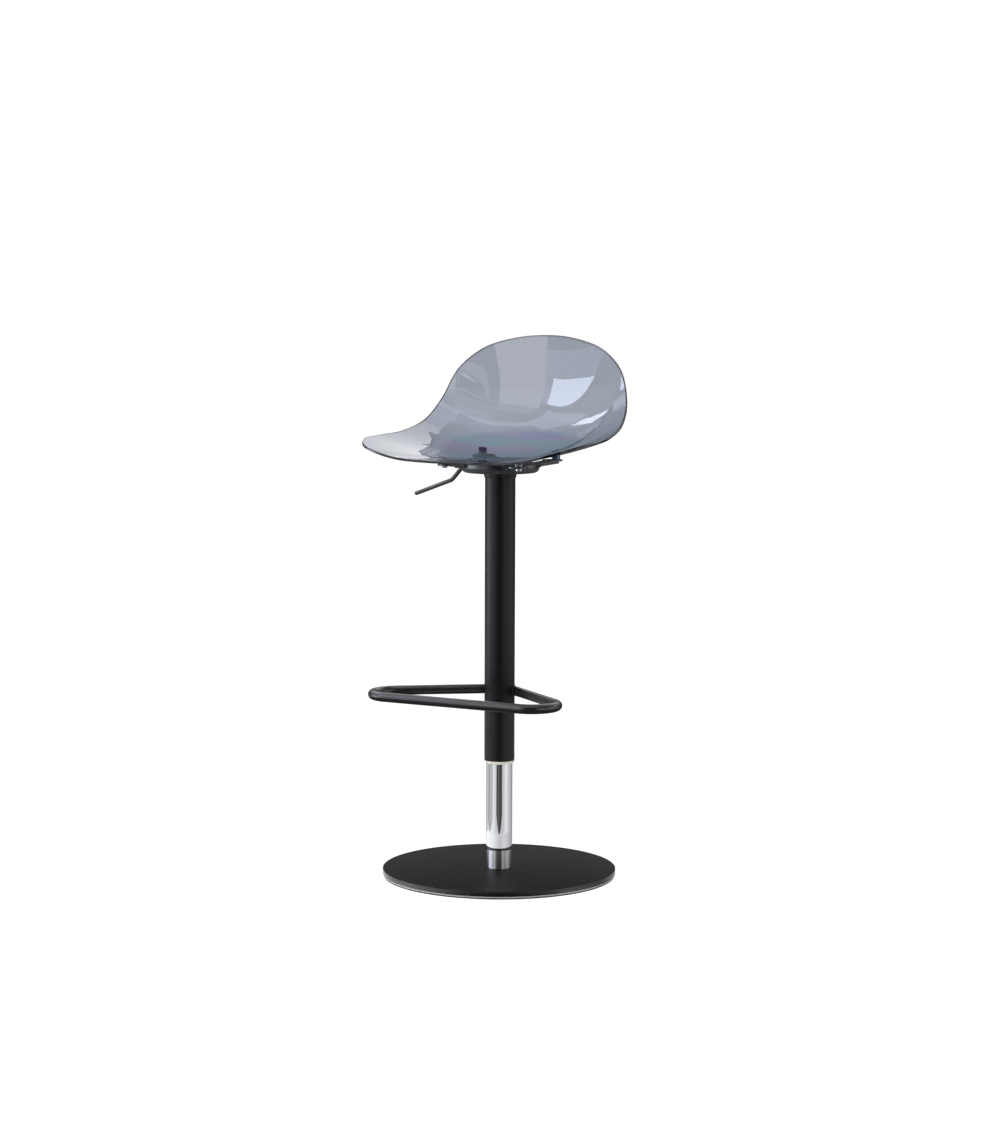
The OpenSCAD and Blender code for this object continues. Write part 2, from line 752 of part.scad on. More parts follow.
module seat_bracket() {
    color("#232427")
    difference() {
        union() {
            difference() {
                translate([0, 0, skirt_z]) cylinder(d = plate_d, h = plate_skirt);
                translate([0, 0, skirt_z - over])
                cylinder(d = plate_d - 2 * plate_t, h = plate_skirt - plate_t + over);
                // The arms' channels open into the round middle
                for (a = [arm_angle, 180 - arm_angle, 180 + arm_angle, -arm_angle])
                    rotate([0, 0, a])
                    translate([0, -arm_w / 2 + plate_t, skirt_z - over])
                    cube([plate_d / 2 + over, arm_w - 2 * plate_t, plate_skirt - plate_t + over]);
            }
            for (a = [180 + arm_angle, -arm_angle])
                rotate([0, 0, a]) arm(0, screw_r - front_flange_end, screw_r - front_flange_end - plate_t);
            for (a = [arm_angle, 180 - arm_angle])
                rotate([0, 0, a]) arm(arm_step, screw_r, screw_r - rear_ramp_end);
        }
        // Slot that the lever moves in
        translate([-plate_d, -slot_w / 2, skirt_z - over])
        cube([plate_d - lever_pivot_x, slot_w, plate_skirt + 2 * over]);
        for (p = screw_places)
            translate([p[0], p[1], p[2] - plate_skirt - over])
            cylinder(d = seat_screw_d + 2 * seat_screw_play, h = plate_skirt + 2 * over, $fn = 32);
    }
}

module pivot_pin() {
    color("#8d9094")
    translate([-lever_pivot_x, -channel_w / 2 - pivot_pin_end, lever_z])
    rotate([-90, 0, 0])
    cylinder(d = pivot_pin_d, h = channel_w + 2 * pivot_pin_end, $fn = 32);
}

module lever_rod() {
    // How much of the straight lengths on each side of a bend its arc takes up
    arc_1 = lever_bend_1_r * tan(lever_bend_1 / 2);
    arc_2 = lever_bend_2_r * tan(lever_bend_2 / 2);
    inner_len = lever_inner_x + lever_bend_1_x - arc_1;
    middle_len = lever_middle - arc_1 - arc_2;
    handle_len = lever_handle - arc_2;
    color("#202123")
    difference() {
        // Drawn from the inner end outwards, in the upright plane through the axis
        translate([lever_inner_x, 0, lever_z])
        mirror([1, 0, 0])
        rotate([-90, 0, 0]) {
            bar(lever_r, inner_len);
            translate([inner_len, 0, 0]) {
                bend(lever_r, lever_bend_1_r, lever_bend_1);
                after_bend(lever_r, lever_bend_1_r, lever_bend_1) {
                    bar(lever_r, middle_len);
                    translate([middle_len, 0, 0])
                    mirror([0, 1, 0]) {
                        bend(lever_r, lever_bend_2_r, lever_bend_2);
                        after_bend(lever_r, lever_bend_2_r, lever_bend_2) {
                            bar(lever_r, handle_len);
                            translate([handle_len, 0, 0]) sphere(r = lever_r);
                        }
                    }
                }
            }
        }
        translate([-lever_pivot_x, -lever_d, lever_z])
        rotate([-90, 0, 0])
        cylinder(d = pivot_pin_d + 2 * slide_fit, h = 2 * lever_d, $fn = 32);
    }
}

module cover_dish() {
    r = dish_d / 2;
    low_r = r - dish_corner_r;
    corner_z = dish_z + dish_corner_r;
    color("#2b2c2e")
    difference() {
        union() {
            translate([0, 0, dish_z]) cylinder(r = low_r, h = dish_wall);
            rotate_extrude()
            difference() {
                translate([low_r, corner_z]) circle(r = dish_corner_r);
                translate([low_r, corner_z]) circle(r = dish_corner_r - dish_wall);
                translate([0, corner_z]) square([r + over, dish_corner_r + over]);
                translate([0, dish_z - over]) square([low_r, 2 * dish_corner_r + 2 * over]);
            }
            ring(r, r - dish_wall, corner_z, dish_rim_z - corner_z);
        }
        translate([0, 0, dish_z - over]) cylinder(r = tube_r + air, h = dish_wall + 2 * over);
        // Notch for the lever
        translate([-r - over, -slot_w / 2, lever_z - slot_w / 2])
        cube([dish_corner_r + over, slot_w, dish_rim_z - lever_z + slot_w / 2 + over]);
    }
}

module tube_collar() {
    r = collar_d / 2;
    bore_r = tube_r + fit;
    lug_r = r + lug_out;
    color("#1e1f21")
    difference() {
        union() {
            rotate_extrude()
            polygon([[0, collar_z], [bore_r + collar_lip, collar_z], [r, collar_z + collar_bevel_h],
                     [r, collar_z + collar_h], [0, collar_z + collar_h]]);
            rotate([0, 0, lug_angle])
            translate([0, -lug_len / 2, collar_z + collar_h - lug_h])
            cube([lug_r, lug_len, lug_h]);
        }
        translate([0, 0, collar_z - over]) cylinder(r = bore_r, h = collar_h + 2 * over);
        rotate([0, 0, lug_angle]) {
            translate([0, -collar_slit / 2, collar_z - over])
            cube([lug_r + over, collar_slit, collar_h + 2 * over]);
            collar_screw_place()
            translate([0, 0, -over])
            cylinder(d = collar_screw_d + 2 * fit, h = lug_len + 2 * over, $fn = 32);
        }
    }
}

module collar_screw_place() {
    translate([collar_d / 2 + lug_out / 2, -lug_len / 2, collar_z + collar_h - lug_h / 2])
    rotate([-90, 0, 0])
    children();
}

module collar_screw() {
    color("#8d9094")
    rotate([0, 0, lug_angle])
    collar_screw_place() {
        cylinder(d = collar_screw_d, h = lug_len + collar_screw_end, $fn = 32);
        translate([0, 0, -collar_screw_head_h])
        cylinder(d = collar_screw_head_d, h = collar_screw_head_h - fit, $fn = 32);
    }
}

module seat_bosses() {
    color("#9aa6b2", 0.6)
    for (p = screw_places) {
        at = p[1] > 0 ? shell_at_rear : shell_at_front;
        contact = under_point(at);
        slope = shell_normal(at[0], at[1]);
        side = sign(p[0]);
        difference() {
            translate(p) cylinder(d = boss_d, h = contact[2] - p[2] + boss_d / 2, $fn = 48);
            // The post ends in the shell's underside
            translate([side * contact[0], contact[1], contact[2]])
            rotate([0, acos(slope[2]), atan2(slope[1], side * slope[0])])
            translate([-boss_d, -boss_d, boss_sink])
            cube([2 * boss_d, 2 * boss_d, 2 * boss_d]);
            translate([p[0], p[1], p[2] - over])
            cylinder(d = insert_d + 2 * fit, h = insert_len + over, $fn = 32);
        }
    }
}

module boss_inserts() {
    color("#b8964e")
    for (p = screw_places)
        translate([p[0], p[1], p[2] + fit])
        difference() {
            cylinder(d = insert_d, h = insert_len - 2 * fit, $fn = 32);
            translate([0, 0, -over]) cylinder(d = seat_screw_d, h = insert_len + 2 * over, $fn = 32);
        }
}

module seat_screws() {
    color("#b9bcc0")
    for (p = screw_places)
        translate([p[0], p[1], p[2] - plate_t]) {
            translate([0, 0, -seat_screw_head_h])
            cylinder(d = seat_screw_head_d, h = seat_screw_head_h - fit, $fn = 48);
            translate([0, 0, -over])
            cylinder(d = seat_screw_d - 2 * fit, h = over + plate_t + insert_len - tip_room, $fn = 32);
        }
}

// Points of one closed row round the shell: the upper face, the rounded lip, then the underside
function shell_row(s) =
    let (
        half = shell_wall / 2,
        up = shell_normal(1, s) * half,
        out = lip_direction(s) * half,
        turn = 180 / lip_steps
    )
    concat(
        [for (i = [1 : shell_rings]) shell_point(ring_u(i), s) + shell_normal(ring_u(i), s) * half],
        [for (i = [1 : lip_steps - 1]) edge_point(s) + up * cos(turn * i) + out * sin(turn * i)],
        [for (i = [shell_rings : -1 : 1]) shell_point(ring_u(i), s) - shell_normal(ring_u(i), s) * half]
    );

module seat_shell() {
    rows = [for (k = [0 : shell_segments - 1]) shell_row(k * edge_count / shell_segments)];
    row_len = 2 * shell_rings + lip_steps - 1;
    low = [0, -pan_y, pan_z];
    points = concat(
        [low + [0, 0, shell_wall / 2], low - [0, 0, shell_wall / 2]],
        [for (row = rows) each row]
    );
    function at(k, i) = 2 + (k % shell_segments) * row_len + i;
    faces = concat(
        [for (k = [0 : shell_segments - 1]) [0, at(k + 1, 0), at(k, 0)]],
        [for (k = [0 : shell_segments - 1]) [1, at(k, row_len - 1), at(k + 1, row_len - 1)]],
        [for (k = [0 : shell_segments - 1], i = [0 : row_len - 2]) each
            [[at(k, i), at(k + 1, i), at(k + 1, i + 1)], [at(k, i), at(k + 1, i + 1), at(k, i + 1)]]]
    );
    color("#8d98a6", 0.55)
    polyhedron(points = points, faces = faces);
}

base_plate();
edge_gasket();
floor_pad();
base_spigot();
spigot_screws();
stand_tube();
cylinder_guide();
slide_ring();
lower_race();
bearing_balls();
upper_race();
rubber_bumper();
piston_rod();
rod_clip();
piston();
gas_cylinder();
rod_seal();
valve_button();
cone_housing();
outer_tube();
tube_bush();
bush_screw();
foot_ring();
lever_channel();
seat_bracket();
pivot_pin();
lever_rod();
cover_dish();
tube_collar();
collar_screw();
seat_bosses();
boss_inserts();
seat_screws();
seat_shell();
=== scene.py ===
# Looks of a height-adjustable swivel stool: a clear smoke shell on a black and chromed gas-lift column.
# The script follows the stool as it is put together, from the floor up. Metres, +Z up, the stool faces -Y.
import math

import bmesh
import bpy
from mathutils import Matrix, Vector


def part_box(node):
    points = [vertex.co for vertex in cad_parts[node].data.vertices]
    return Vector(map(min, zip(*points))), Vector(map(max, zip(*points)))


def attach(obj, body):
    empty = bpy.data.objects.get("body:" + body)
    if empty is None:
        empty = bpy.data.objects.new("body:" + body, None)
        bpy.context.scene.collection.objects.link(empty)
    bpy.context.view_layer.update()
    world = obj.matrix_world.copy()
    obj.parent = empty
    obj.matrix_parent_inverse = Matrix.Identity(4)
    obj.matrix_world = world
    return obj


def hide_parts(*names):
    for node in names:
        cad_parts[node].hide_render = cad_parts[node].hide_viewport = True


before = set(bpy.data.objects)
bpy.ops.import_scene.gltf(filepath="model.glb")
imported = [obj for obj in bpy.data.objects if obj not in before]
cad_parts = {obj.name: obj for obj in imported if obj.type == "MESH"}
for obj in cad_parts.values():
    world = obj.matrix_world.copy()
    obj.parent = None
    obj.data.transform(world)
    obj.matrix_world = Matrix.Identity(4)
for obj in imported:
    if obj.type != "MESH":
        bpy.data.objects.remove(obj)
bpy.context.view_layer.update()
scene = bpy.context.scene
scene.view_settings.view_transform = "Standard"
MM = 0.001

# Camera
# It stands in front of the stool and to its left, a little above the seat's back, and looks slightly down.
camera_place = Vector((2.5236, -4.5809, 1.122))
camera_azimuth = math.radians(28.85)
camera_pitch = math.radians(-5.77)
camera_roll = math.radians(0.183)


def new_object(name, data):
    """A new object in the scene, made of a mesh, a lamp or a camera."""
    made = bpy.data.objects.new(name, data)
    scene.collection.objects.link(made)
    return made


camera_data = bpy.data.cameras.new("camera")
camera_data.sensor_fit = "VERTICAL"
camera_data.sensor_height = 36.0
camera_data.lens = 89.82
camera = new_object("camera", camera_data)
camera.matrix_world = (
    Matrix.Translation(camera_place)
    @ Matrix.Rotation(camera_azimuth, 4, "Z")
    @ Matrix.Rotation(math.radians(90) + camera_pitch, 4, "X")
    @ Matrix.Rotation(camera_roll, 4, "Z")
)
scene.camera = camera


# Studio
# A white sweep with soft lamps and a weak sky. Pale and dark cards lie on the floor and hang round the stool,
# where only its gloss shows them, as it would show a room's windows, walls and ceiling.
def linear(hex_colour):
    """Linear RGBA of an sRGB hex colour."""
    parts = [int(hex_colour[i:i + 2], 16) / 255 for i in (1, 3, 5)]
    return [c / 12.92 if c <= 0.04045 else ((c + 0.055) / 1.055) ** 2.4 for c in parts] + [1.0]


def add_node(tree, kind, *feeds, named=None, **settings):
    """Adds a node, sets its properties, and feeds its inputs in order or by name with values or sockets."""
    node = tree.nodes.new(kind)
    for name, value in settings.items():
        setattr(node, name, value)
    for key, feed in [*enumerate(feeds), *(named or {}).items()]:
        if isinstance(feed, bpy.types.NodeSocket):
            tree.links.new(feed, node.inputs[key])
        else:
            node.inputs[key].default_value = feed
    return node


def empty_material(name):
    """A new material with nothing but its output."""
    material = bpy.data.materials.new(name)
    material.use_nodes = True
    material.node_tree.nodes.clear()
    return material, material.node_tree


def seen_directly(tree):
    """1 for rays from the camera, off gloss or through clear plastic, and 0 for those that carry light."""
    path = add_node(tree, "ShaderNodeLightPath")
    direct = add_node(tree, "ShaderNodeMath", path.outputs["Is Camera Ray"], path.outputs["Is Glossy Ray"],
                      operation="ADD")
    return add_node(tree, "ShaderNodeMath", direct.outputs[0], path.outputs["Is Transmission Ray"],
                    operation="ADD", use_clamp=True).outputs[0]


sky_strength = 0.62
white_strength = 1.0
world = bpy.data.worlds.new("studio")
scene.world = world
world.use_nodes = True
sky = world.node_tree
sky.nodes.clear()
white_surroundings = add_node(sky, "ShaderNodeBackground", linear("#ffffff"), white_strength)
soft_sky = add_node(sky, "ShaderNodeBackground", linear("#f4f6fa"), sky_strength)
chosen_sky = add_node(sky, "ShaderNodeMixShader", seen_directly(sky), soft_sky.outputs[0],
                      white_surroundings.outputs[0])
add_node(sky, "ShaderNodeOutputWorld", chosen_sky.outputs[0])

floor_reach = 20.0
floor_glow = 1.2
floor_glow_share = 0.8
paper, paper_tree = empty_material("white_paper_sweep")
lit_paper = add_node(paper_tree, "ShaderNodeBsdfDiffuse", linear("#f2f2f2"))
white_paper = add_node(paper_tree, "ShaderNodeEmission", linear("#ffffff"), floor_glow)
paper_share = add_node(paper_tree, "ShaderNodeMath", seen_directly(paper_tree), floor_glow_share,
                       operation="MULTIPLY")
paper_mix = add_node(paper_tree, "ShaderNodeMixShader", paper_share.outputs[0], lit_paper.outputs[0],
                     white_paper.outputs[0])
add_node(paper_tree, "ShaderNodeOutputMaterial", paper_mix.outputs[0])
corners = ((-1, -1), (1, -1), (1, 1), (-1, 1))
floor_mesh = bpy.data.meshes.new("studio_floor")
floor_mesh.from_pydata([(x * floor_reach, y * floor_reach, 0) for x, y in corners], [], [range(4)])
floor_mesh.materials.append(paper)
new_object("studio_floor", floor_mesh)


def glow_material(name, colour):
    """A material that glows as strongly as its mesh's own tone says at each point."""
    material, tree = empty_material(name)
    strength = add_node(tree, "ShaderNodeAttribute", attribute_name="tone").outputs["Fac"]
    glow = add_node(tree, "ShaderNodeEmission", linear(colour), strength)
    add_node(tree, "ShaderNodeOutputMaterial", glow.outputs[0])
    return material


def gloss_card(name, place, stops, rows, colour="#ffffff"):
    """A card that only gloss shows. Its tone runs through stops of (heading, tone) from side to side. A
    heading is in degrees from the camera's side of the column, the viewer's right counted up. The function
    place gives the point for a turn about the column, -1 to 1 across the card, and 0 to 1 up its rows."""
    rounding = 1e-6
    points, tones, faces = [], [], []
    first, last = stops[0][0], stops[-1][0]
    columns = round(last - first)
    for i in range(columns + 1):
        heading = first + (last - first) * i / columns
        low, high = next((a, b) for a, b in zip(stops, stops[1:]) if heading <= b[0] + rounding)
        blend = (heading - low[0]) / (high[0] - low[0])
        for j in range(rows + 1):
            turn = camera_azimuth + math.radians(heading - 90)
            points.append(place(turn, 2 * i / columns - 1, j / rows))
            tones.append(low[1] + (high[1] - low[1]) * blend)
    for i in range(columns):
        for j in range(rows):
            k = i * (rows + 1) + j
            faces.append((k, k + 1, k + rows + 2, k + rows + 1))
    mesh = bpy.data.meshes.new(name)
    mesh.from_pydata(points, [], faces)
    mesh.attributes.new("tone", "FLOAT", "POINT").data.foreach_set("value", tones)
    mesh.materials.append(glow_material(name, colour))
    card = new_object(name, mesh)
    card.visible_camera = False
    card.visible_diffuse = False
    card.visible_transmission = False
    card.visible_shadow = False


def floor_card(name, stops, near, far, tip=0.0, height=0.0005):
    """A card on the floor, from one distance to another. With a tip, its near edge is a parabola."""
    def place(turn, across, row):
        reach = near * (1 + tip * across ** 2) * (1 - row) + far * row
        return reach * math.cos(turn), reach * math.sin(turn), height
    gloss_card(name, place, stops, rows=4)


def hung_card(name, stops, low, high, colour="#ffffff", reach=3.5, lean=0.0):
    """A card bent round the seat, between two elevations in degrees as the seat's middle sees them. With a
    lean, its last side hangs so many degrees higher than its first."""
    def place(turn, across, row):
        lift = math.radians(low + (high - low) * row + lean * (across + 1) / 2)
        level = reach * math.cos(lift)
        return level * math.cos(turn), level * math.sin(turn), seat_middle + reach * math.sin(lift)
    gloss_card(name, place, stops, 8, colour)


def level_card(name, stops, back, front, height):
    """A level card over the seat. Its stops are (centimetres to the right of the column, tone), and its back
    and front are metres from the column towards the camera."""
    left, right = stops[0][0] / 100, stops[-1][0] / 100

    def place(turn, across, row):
        level = camera_turn @ Vector(((left + right) / 2 + across * (right - left) / 2,
                                      -back - (front - back) * row, 0))
        return level.x, level.y, height
    gloss_card(name, place, stops, 4, "#eef2ff")


seat_middle = 0.9
camera_turn = Matrix.Rotation(camera_azimuth, 3, "Z")
# Distances from the column at which the floor's cards end, and the height of those that lie on another
contact_edge, near_edge, room_edge = 0.275, 0.44, 4.5
upper_card = 0.001
# Elevations at which the parts of the room meet, and the reach of its walls and of what hangs before them
floor_line, eye_line, ceiling_line, overhead = -14.5, 1.0, 44.0, 90.0
behind_windows, before_windows = 3.6, 3.4
daylight = "#e6eeff"
floor_card("near_floor_card", ((-180, 0.5), (-150, 0.9), (-125, 1.2), (-100, 1.2), (-70, 1.1), (-44, 1.0),
                               (-14, 0.78), (8, 0.66), (40, 0.8), (83, 0.66), (105, 0.5), (140, 0.42),
                               (180, 0.5)), contact_edge, near_edge)
floor_card("contact_shadow_card", ((-180, 0.35), (-118, 0.4), (-105, 0.5), (-92, 0.75), (-68, 0.95),
                                   (-60, 1.6), (-47, 1.6), (-37, 1.5), (-26, 0.7), (-14, 0.2), (0, 0.06),
                                   (14, 0.2), (29, 0.58), (40, 1.2), (52, 0.8), (65, 0.38), (92, 0.45),
                                   (110, 0.35), (180, 0.35)), 0.2, contact_edge)
floor_card("shade_below_ring_card", ((-180, 0.1), (180, 0.1)), 0.16, 0.42, height=0.3)
floor_card("far_floor_card", ((-180, 0.45), (-146, 0.5), (-120, 0.68), (-116, 1.0), (-50, 1.0), (-28, 0.72),
                              (26, 0.62), (40, 0.75), (62, 1.0), (84, 0.72), (113, 0.55), (140, 0.32),
                              (180, 0.45)), near_edge, room_edge)
floor_card("dark_front_card", ((-24, 0.03), (-14, 0.09), (-6, 0.17), (2, 0.07), (12, 0.07), (25, 0.14)), 0.43,
           room_edge, tip=0.5, height=upper_card)
floor_card("grey_left_card", ((-116, 0.6), (-96, 0.42), (-84, 0.6), (-58, 0.58)), 0.45, room_edge, tip=0.3,
           height=upper_card)
hung_card("left_window", ((-84, 7.2), (-69.5, 7.2)), 13.5, 29.0, "#dfe8fb")
hung_card("far_left_window", ((-106, 2.6), (-74, 2.0)), 34.0, 47.0, daylight)
hung_card("left_light_strip", ((-131, 7.5), (-109.5, 7.5)), 28.2, 35.0, daylight, before_windows, lean=9.0)
hung_card("left_wall", ((-132, 1.0), (-112, 4.2), (-86, 4.4), (-66, 1.6), (-52, 0.5)), floor_line, eye_line,
          "#e8eeff")
hung_card("front_window", ((-58.5, 2.1), (-38.3, 1.9)), eye_line, 36.0)
hung_card("window_frame_strip", ((-33, 1.1), (-30.5, 1.1)), eye_line, 33.0)
hung_card("small_front_lamp", ((-30.0, 2.6), (-26.9, 2.2)), 16.5, 25.5, daylight)
hung_card("dark_front_wall", ((-38, 0.25), (-20, 0.05), (24, 0.02)), eye_line, ceiling_line,
          reach=behind_windows)
hung_card("low_front_wall", ((-37, 0.15), (-20, 0.02), (24, 0.02)), floor_line, eye_line)
hung_card("right_wall", ((46, 0.2), (56, 0.8), (66, 0.2)), floor_line, 20.0)
hung_card("high_right_wall", ((24, 0.1), (60, 0.12), (110, 0.5)), 20.0, ceiling_line, reach=behind_windows)
hung_card("low_back_wall", ((110, 0.1), (250, 0.1)), floor_line, 11.0)
hung_card("side_wall", ((-132, 0.9), (-92, 0.8), (-80, 0.45), (-56, 0.45)), eye_line, ceiling_line,
          reach=behind_windows)
hung_card("back_window", ((150, 1.6), (210, 1.6)), 14.0, 66.0)
hung_card("front_ceiling", ((-140, 0.45), (-60, 0.3), (-20, 0.6), (130, 0.3)), ceiling_line, overhead)
hung_card("back_ceiling", ((130, 0.1), (220, 0.1)), 66.0, overhead)
level_card("ceiling_light_back", ((-60, 0.4), (-20, 1.2), (60, 1.3)), back=-0.8, front=0.3, height=2.6)
level_card("ceiling_light_middle", ((-105, 1.9), (-60, 1.6), (60, 1.4)), back=0.3, front=0.58, height=2.6)
level_card("ceiling_light_left", ((-190, 1.7), (-105, 1.9)), back=-0.5, front=0.58, height=2.6)


def shade_over_pan():
    """A dark level card over the seat. Its left edge curves in, so that its mirror image in the pan ends in a
    smooth line."""
    back, front, right, height = 0.62, 0.09, 0.14, 1.1
    outermost, innermost, waist, bend = -0.106, -0.0868, 0.445, 0.76

    def place(turn, across, row):
        behind = back + (front - back) * row
        left = max(outermost, innermost - bend * (behind - waist) ** 2)
        level = camera_turn @ Vector((left + (right - left) * (across + 1) / 2, behind, 0))
        return level.x, level.y, height
    gloss_card("shade_over_pan_card", place, ((0, 0.12), (12, 0.12)), rows=24)


def shade_behind_seat():
    """A dark card close behind the seat, where the seat's own pan mirrors its back."""
    middle, half_width, behind, low, tall = 0.02, 0.12, 0.36, 0.85, 0.25

    def place(turn, across, row):
        upright = camera_turn @ Vector((middle + across * half_width, behind, 0))
        return upright.x, upright.y, low + tall * row
    gloss_card("shade_behind_seat_card", place, ((0, 0.12), (9, 0.12)), rows=4)


shade_over_pan()
shade_behind_seat()
beam_depth = 2.4
for beam_low in (36, 42, 48.5, 56):
    hung_card(f"ceiling_beam_{beam_low:.0f}", ((-44, 0.9), (12, 0.6)), beam_low, beam_low + beam_depth,
              reach=before_windows)


def soft_lamp(name, place, target, size, power):
    """A square area lamp that looks at a target."""
    data = bpy.data.lights.new(name, "AREA")
    data.shape = "SQUARE"
    data.size = size
    data.energy = power
    lamp = new_object(name, data)
    lamp.visible_glossy = False
    lamp.location = place
    lamp.rotation_euler = (Vector(target) - Vector(place)).to_track_quat("-Z", "Y").to_euler()


soft_lamp("left_lamp", (-1.7, -1.9, 1.7), (0, 0, 0.5), size=1.2, power=38)
soft_lamp("right_lamp", (2.6, 0.9, 1.5), (0, 0, 0.5), size=0.9, power=10)
soft_lamp("top_lamp", (0.2, -0.4, 2.8), (0, 0, 0.4), size=1.4, power=26)


# Base plate
# A heavy round steel plate, turned and black powder coated: satin and very dark grey, with a fine orange
# peel. Its edge is rounded, and the spigot stands in its middle.
def principled(name, colour, **sockets):
    """A new material with one Principled shader. Its sockets are named with underscores for spaces."""
    material, tree = empty_material(name)
    named = {key.replace("_", " "): value for key, value in sockets.items()}
    shader = add_node(tree, "ShaderNodeBsdfPrincipled", linear(colour), named=named)
    add_node(tree, "ShaderNodeOutputMaterial", shader.outputs[0])
    return material, tree, shader


def grain(tree, size_mm, stretch=(1, 1, 1), detail=3.0):
    """Noise on the piece's own coordinates whose grains are about as large as given."""
    place = add_node(tree, "ShaderNodeTexCoord").outputs["Object"]
    laid = add_node(tree, "ShaderNodeMapping", place, named={"Scale": stretch})
    return add_node(tree, "ShaderNodeTexNoise", laid.outputs[0],
                    named={"Scale": 1 / (size_mm * MM), "Detail": detail}).outputs["Fac"]


# Nearly all of a noise's values lie between these two
noise_low, noise_high = 0.3, 0.7


def vary(tree, shader, socket, pattern, low, high):
    """Lets a pattern move one of the shader's numbers between two values."""
    spread = add_node(tree, "ShaderNodeMapRange", pattern, noise_low, noise_high, low, high)
    tree.links.new(spread.outputs[0], shader.inputs[socket])


def tone(tree, shader, pattern, dark, pale):
    """Lets a pattern move the shader's colour between two colours."""
    ramp = add_node(tree, "ShaderNodeValToRGB", pattern)
    ramp.color_ramp.elements[0].color = linear(dark)
    ramp.color_ramp.elements[1].color = linear(pale)
    ramp.color_ramp.elements[0].position = noise_low
    ramp.color_ramp.elements[1].position = noise_high
    tree.links.new(ramp.outputs[0], shader.inputs["Base Color"])


def relief(tree, shader, pattern, depth_mm, strength):
    """Raises the surface by a pattern."""
    bump = add_node(tree, "ShaderNodeBump", named={"Strength": strength, "Distance": depth_mm * MM,
                                                    "Height": pattern})
    tree.links.new(bump.outputs[0], shader.inputs["Normal"])


def black_powder_coat(name, gloss, haze=0.34, peel=0.5):
    """Satin polyester powder on steel: near black, with a fine orange peel that softens every reflection."""
    cloud_mm, patch_mm, peel_mm, peel_depth_mm, most_haze = 14.0, 9.0, 1.1, 0.02, 0.12
    material, tree, shader = principled(name, "#0d0d0e", Roughness=haze, Specular_IOR_Level=gloss)
    tone(tree, shader, grain(tree, cloud_mm), "#0c0c0d", "#111112")
    vary(tree, shader, "Roughness", grain(tree, patch_mm), haze, haze + most_haze * peel)
    relief(tree, shader, grain(tree, peel_mm, detail=2.0), peel_depth_mm, peel)
    return material


structured_coat = black_powder_coat("structured_powder_coat", gloss=0.15, haze=0.48)
powder_coat = black_powder_coat("satin_powder_coat", gloss=0.3)
bar_coat = black_powder_coat("smooth_powder_coat", gloss=1.0, haze=0.29, peel=0.05)


def supported(outline):
    """The outline with a point added near each end of its long runs, so that they shade flat up to there."""
    margin = 0.8
    long_run = 4 * margin
    result = []
    for i, corner in enumerate(outline):
        start, end = Vector(corner), Vector(outline[(i + 1) % len(outline)])
        way = (end - start).normalized() * margin
        result += [start, start + way, end - way] if (end - start).length > long_run else [start]
    return result


def turned(name, outline, material, body, replaces, segments=192, sharp=40):
    """A piece turned on the column's axis from a closed outline of (radius, height) in millimetres."""
    ring = [(r * MM, z * MM) for r, z in supported(outline)]
    rows = len(ring)
    points, faces = [], []
    for k in range(segments):
        turn = 2 * math.pi * k / segments
        points += [(r * math.cos(turn), r * math.sin(turn), z) for r, z in ring]
    for k in range(segments):
        near, far = k * rows, (k + 1) % segments * rows
        for i in range(rows):
            j = (i + 1) % rows
            faces.append((near + i, far + i, far + j, near + j))
    mesh = bpy.data.meshes.new(name)
    mesh.from_pydata(points, [], faces)
    return finish_piece(name, mesh, material, body, replaces, sharp)


def finish_piece(name, mesh, material, body, replaces, sharp=40):
    """Closes a mesh's seams, turns its faces outwards, smooths it between edges sharper than so many degrees,
    and lets it ride."""
    seam, no_width = 1e-6, 1e-7
    work = bmesh.new()
    work.from_mesh(mesh)
    bmesh.ops.remove_doubles(work, verts=work.verts, dist=seam)
    bmesh.ops.dissolve_degenerate(work, dist=no_width, edges=work.edges)
    bmesh.ops.recalc_face_normals(work, faces=work.faces)
    work.to_mesh(mesh)
    work.free()
    mesh.shade_smooth()
    mesh.set_sharp_from_angle(angle=math.radians(sharp))
    mesh.materials.clear()
    mesh.materials.append(material)
    piece = new_object(name, mesh)
    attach(piece, body)
    if replaces:
        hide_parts(*replaces)
    return piece


def rounded(corner, before, after, radius):
    """Points of a round corner on an outline, between the directions of its two neighbours."""
    steps = 6
    c, a, b = Vector(corner), Vector(before), Vector(after)
    to_a, to_b = (a - c).normalized(), (b - c).normalized()
    half = to_a.angle(to_b) / 2
    cut = radius / math.tan(half)
    centre = c + (to_a + to_b).normalized() * (radius / math.sin(half))
    start, end = c + to_a * cut - centre, c + to_b * cut - centre
    sweep = start.angle_signed(end)
    points = []
    for i in range(steps + 1):
        spin = -sweep * i / steps
        points.append((centre.x + start.x * math.cos(spin) - start.y * math.sin(spin),
                       centre.y + start.x * math.sin(spin) + start.y * math.cos(spin)))
    return points


def soften(outline, radii):
    """The outline with its corners rounded. A radius of 0 leaves a corner sharp."""
    result = []
    for i, (corner, radius) in enumerate(zip(outline, radii)):
        after = outline[(i + 1) % len(outline)]
        result += rounded(corner, outline[i - 1], after, radius) if radius else [corner]
    return result


base_low, base_high = (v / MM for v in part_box("base_plate"))
spigot_r, spigot_gap = 22.9, 0.05
plate_bore_r = spigot_r + spigot_gap
plate_outline = [(plate_bore_r, base_low.z), (base_high.x, base_low.z), (base_high.x, base_high.z),
                 (plate_bore_r, base_high.z)]
plate = turned("round_base_plate", soften(plate_outline, [0.2, 0.5, 0.9, 0.7]), structured_coat, "base",
               ["base_plate"], segments=256, sharp=60)


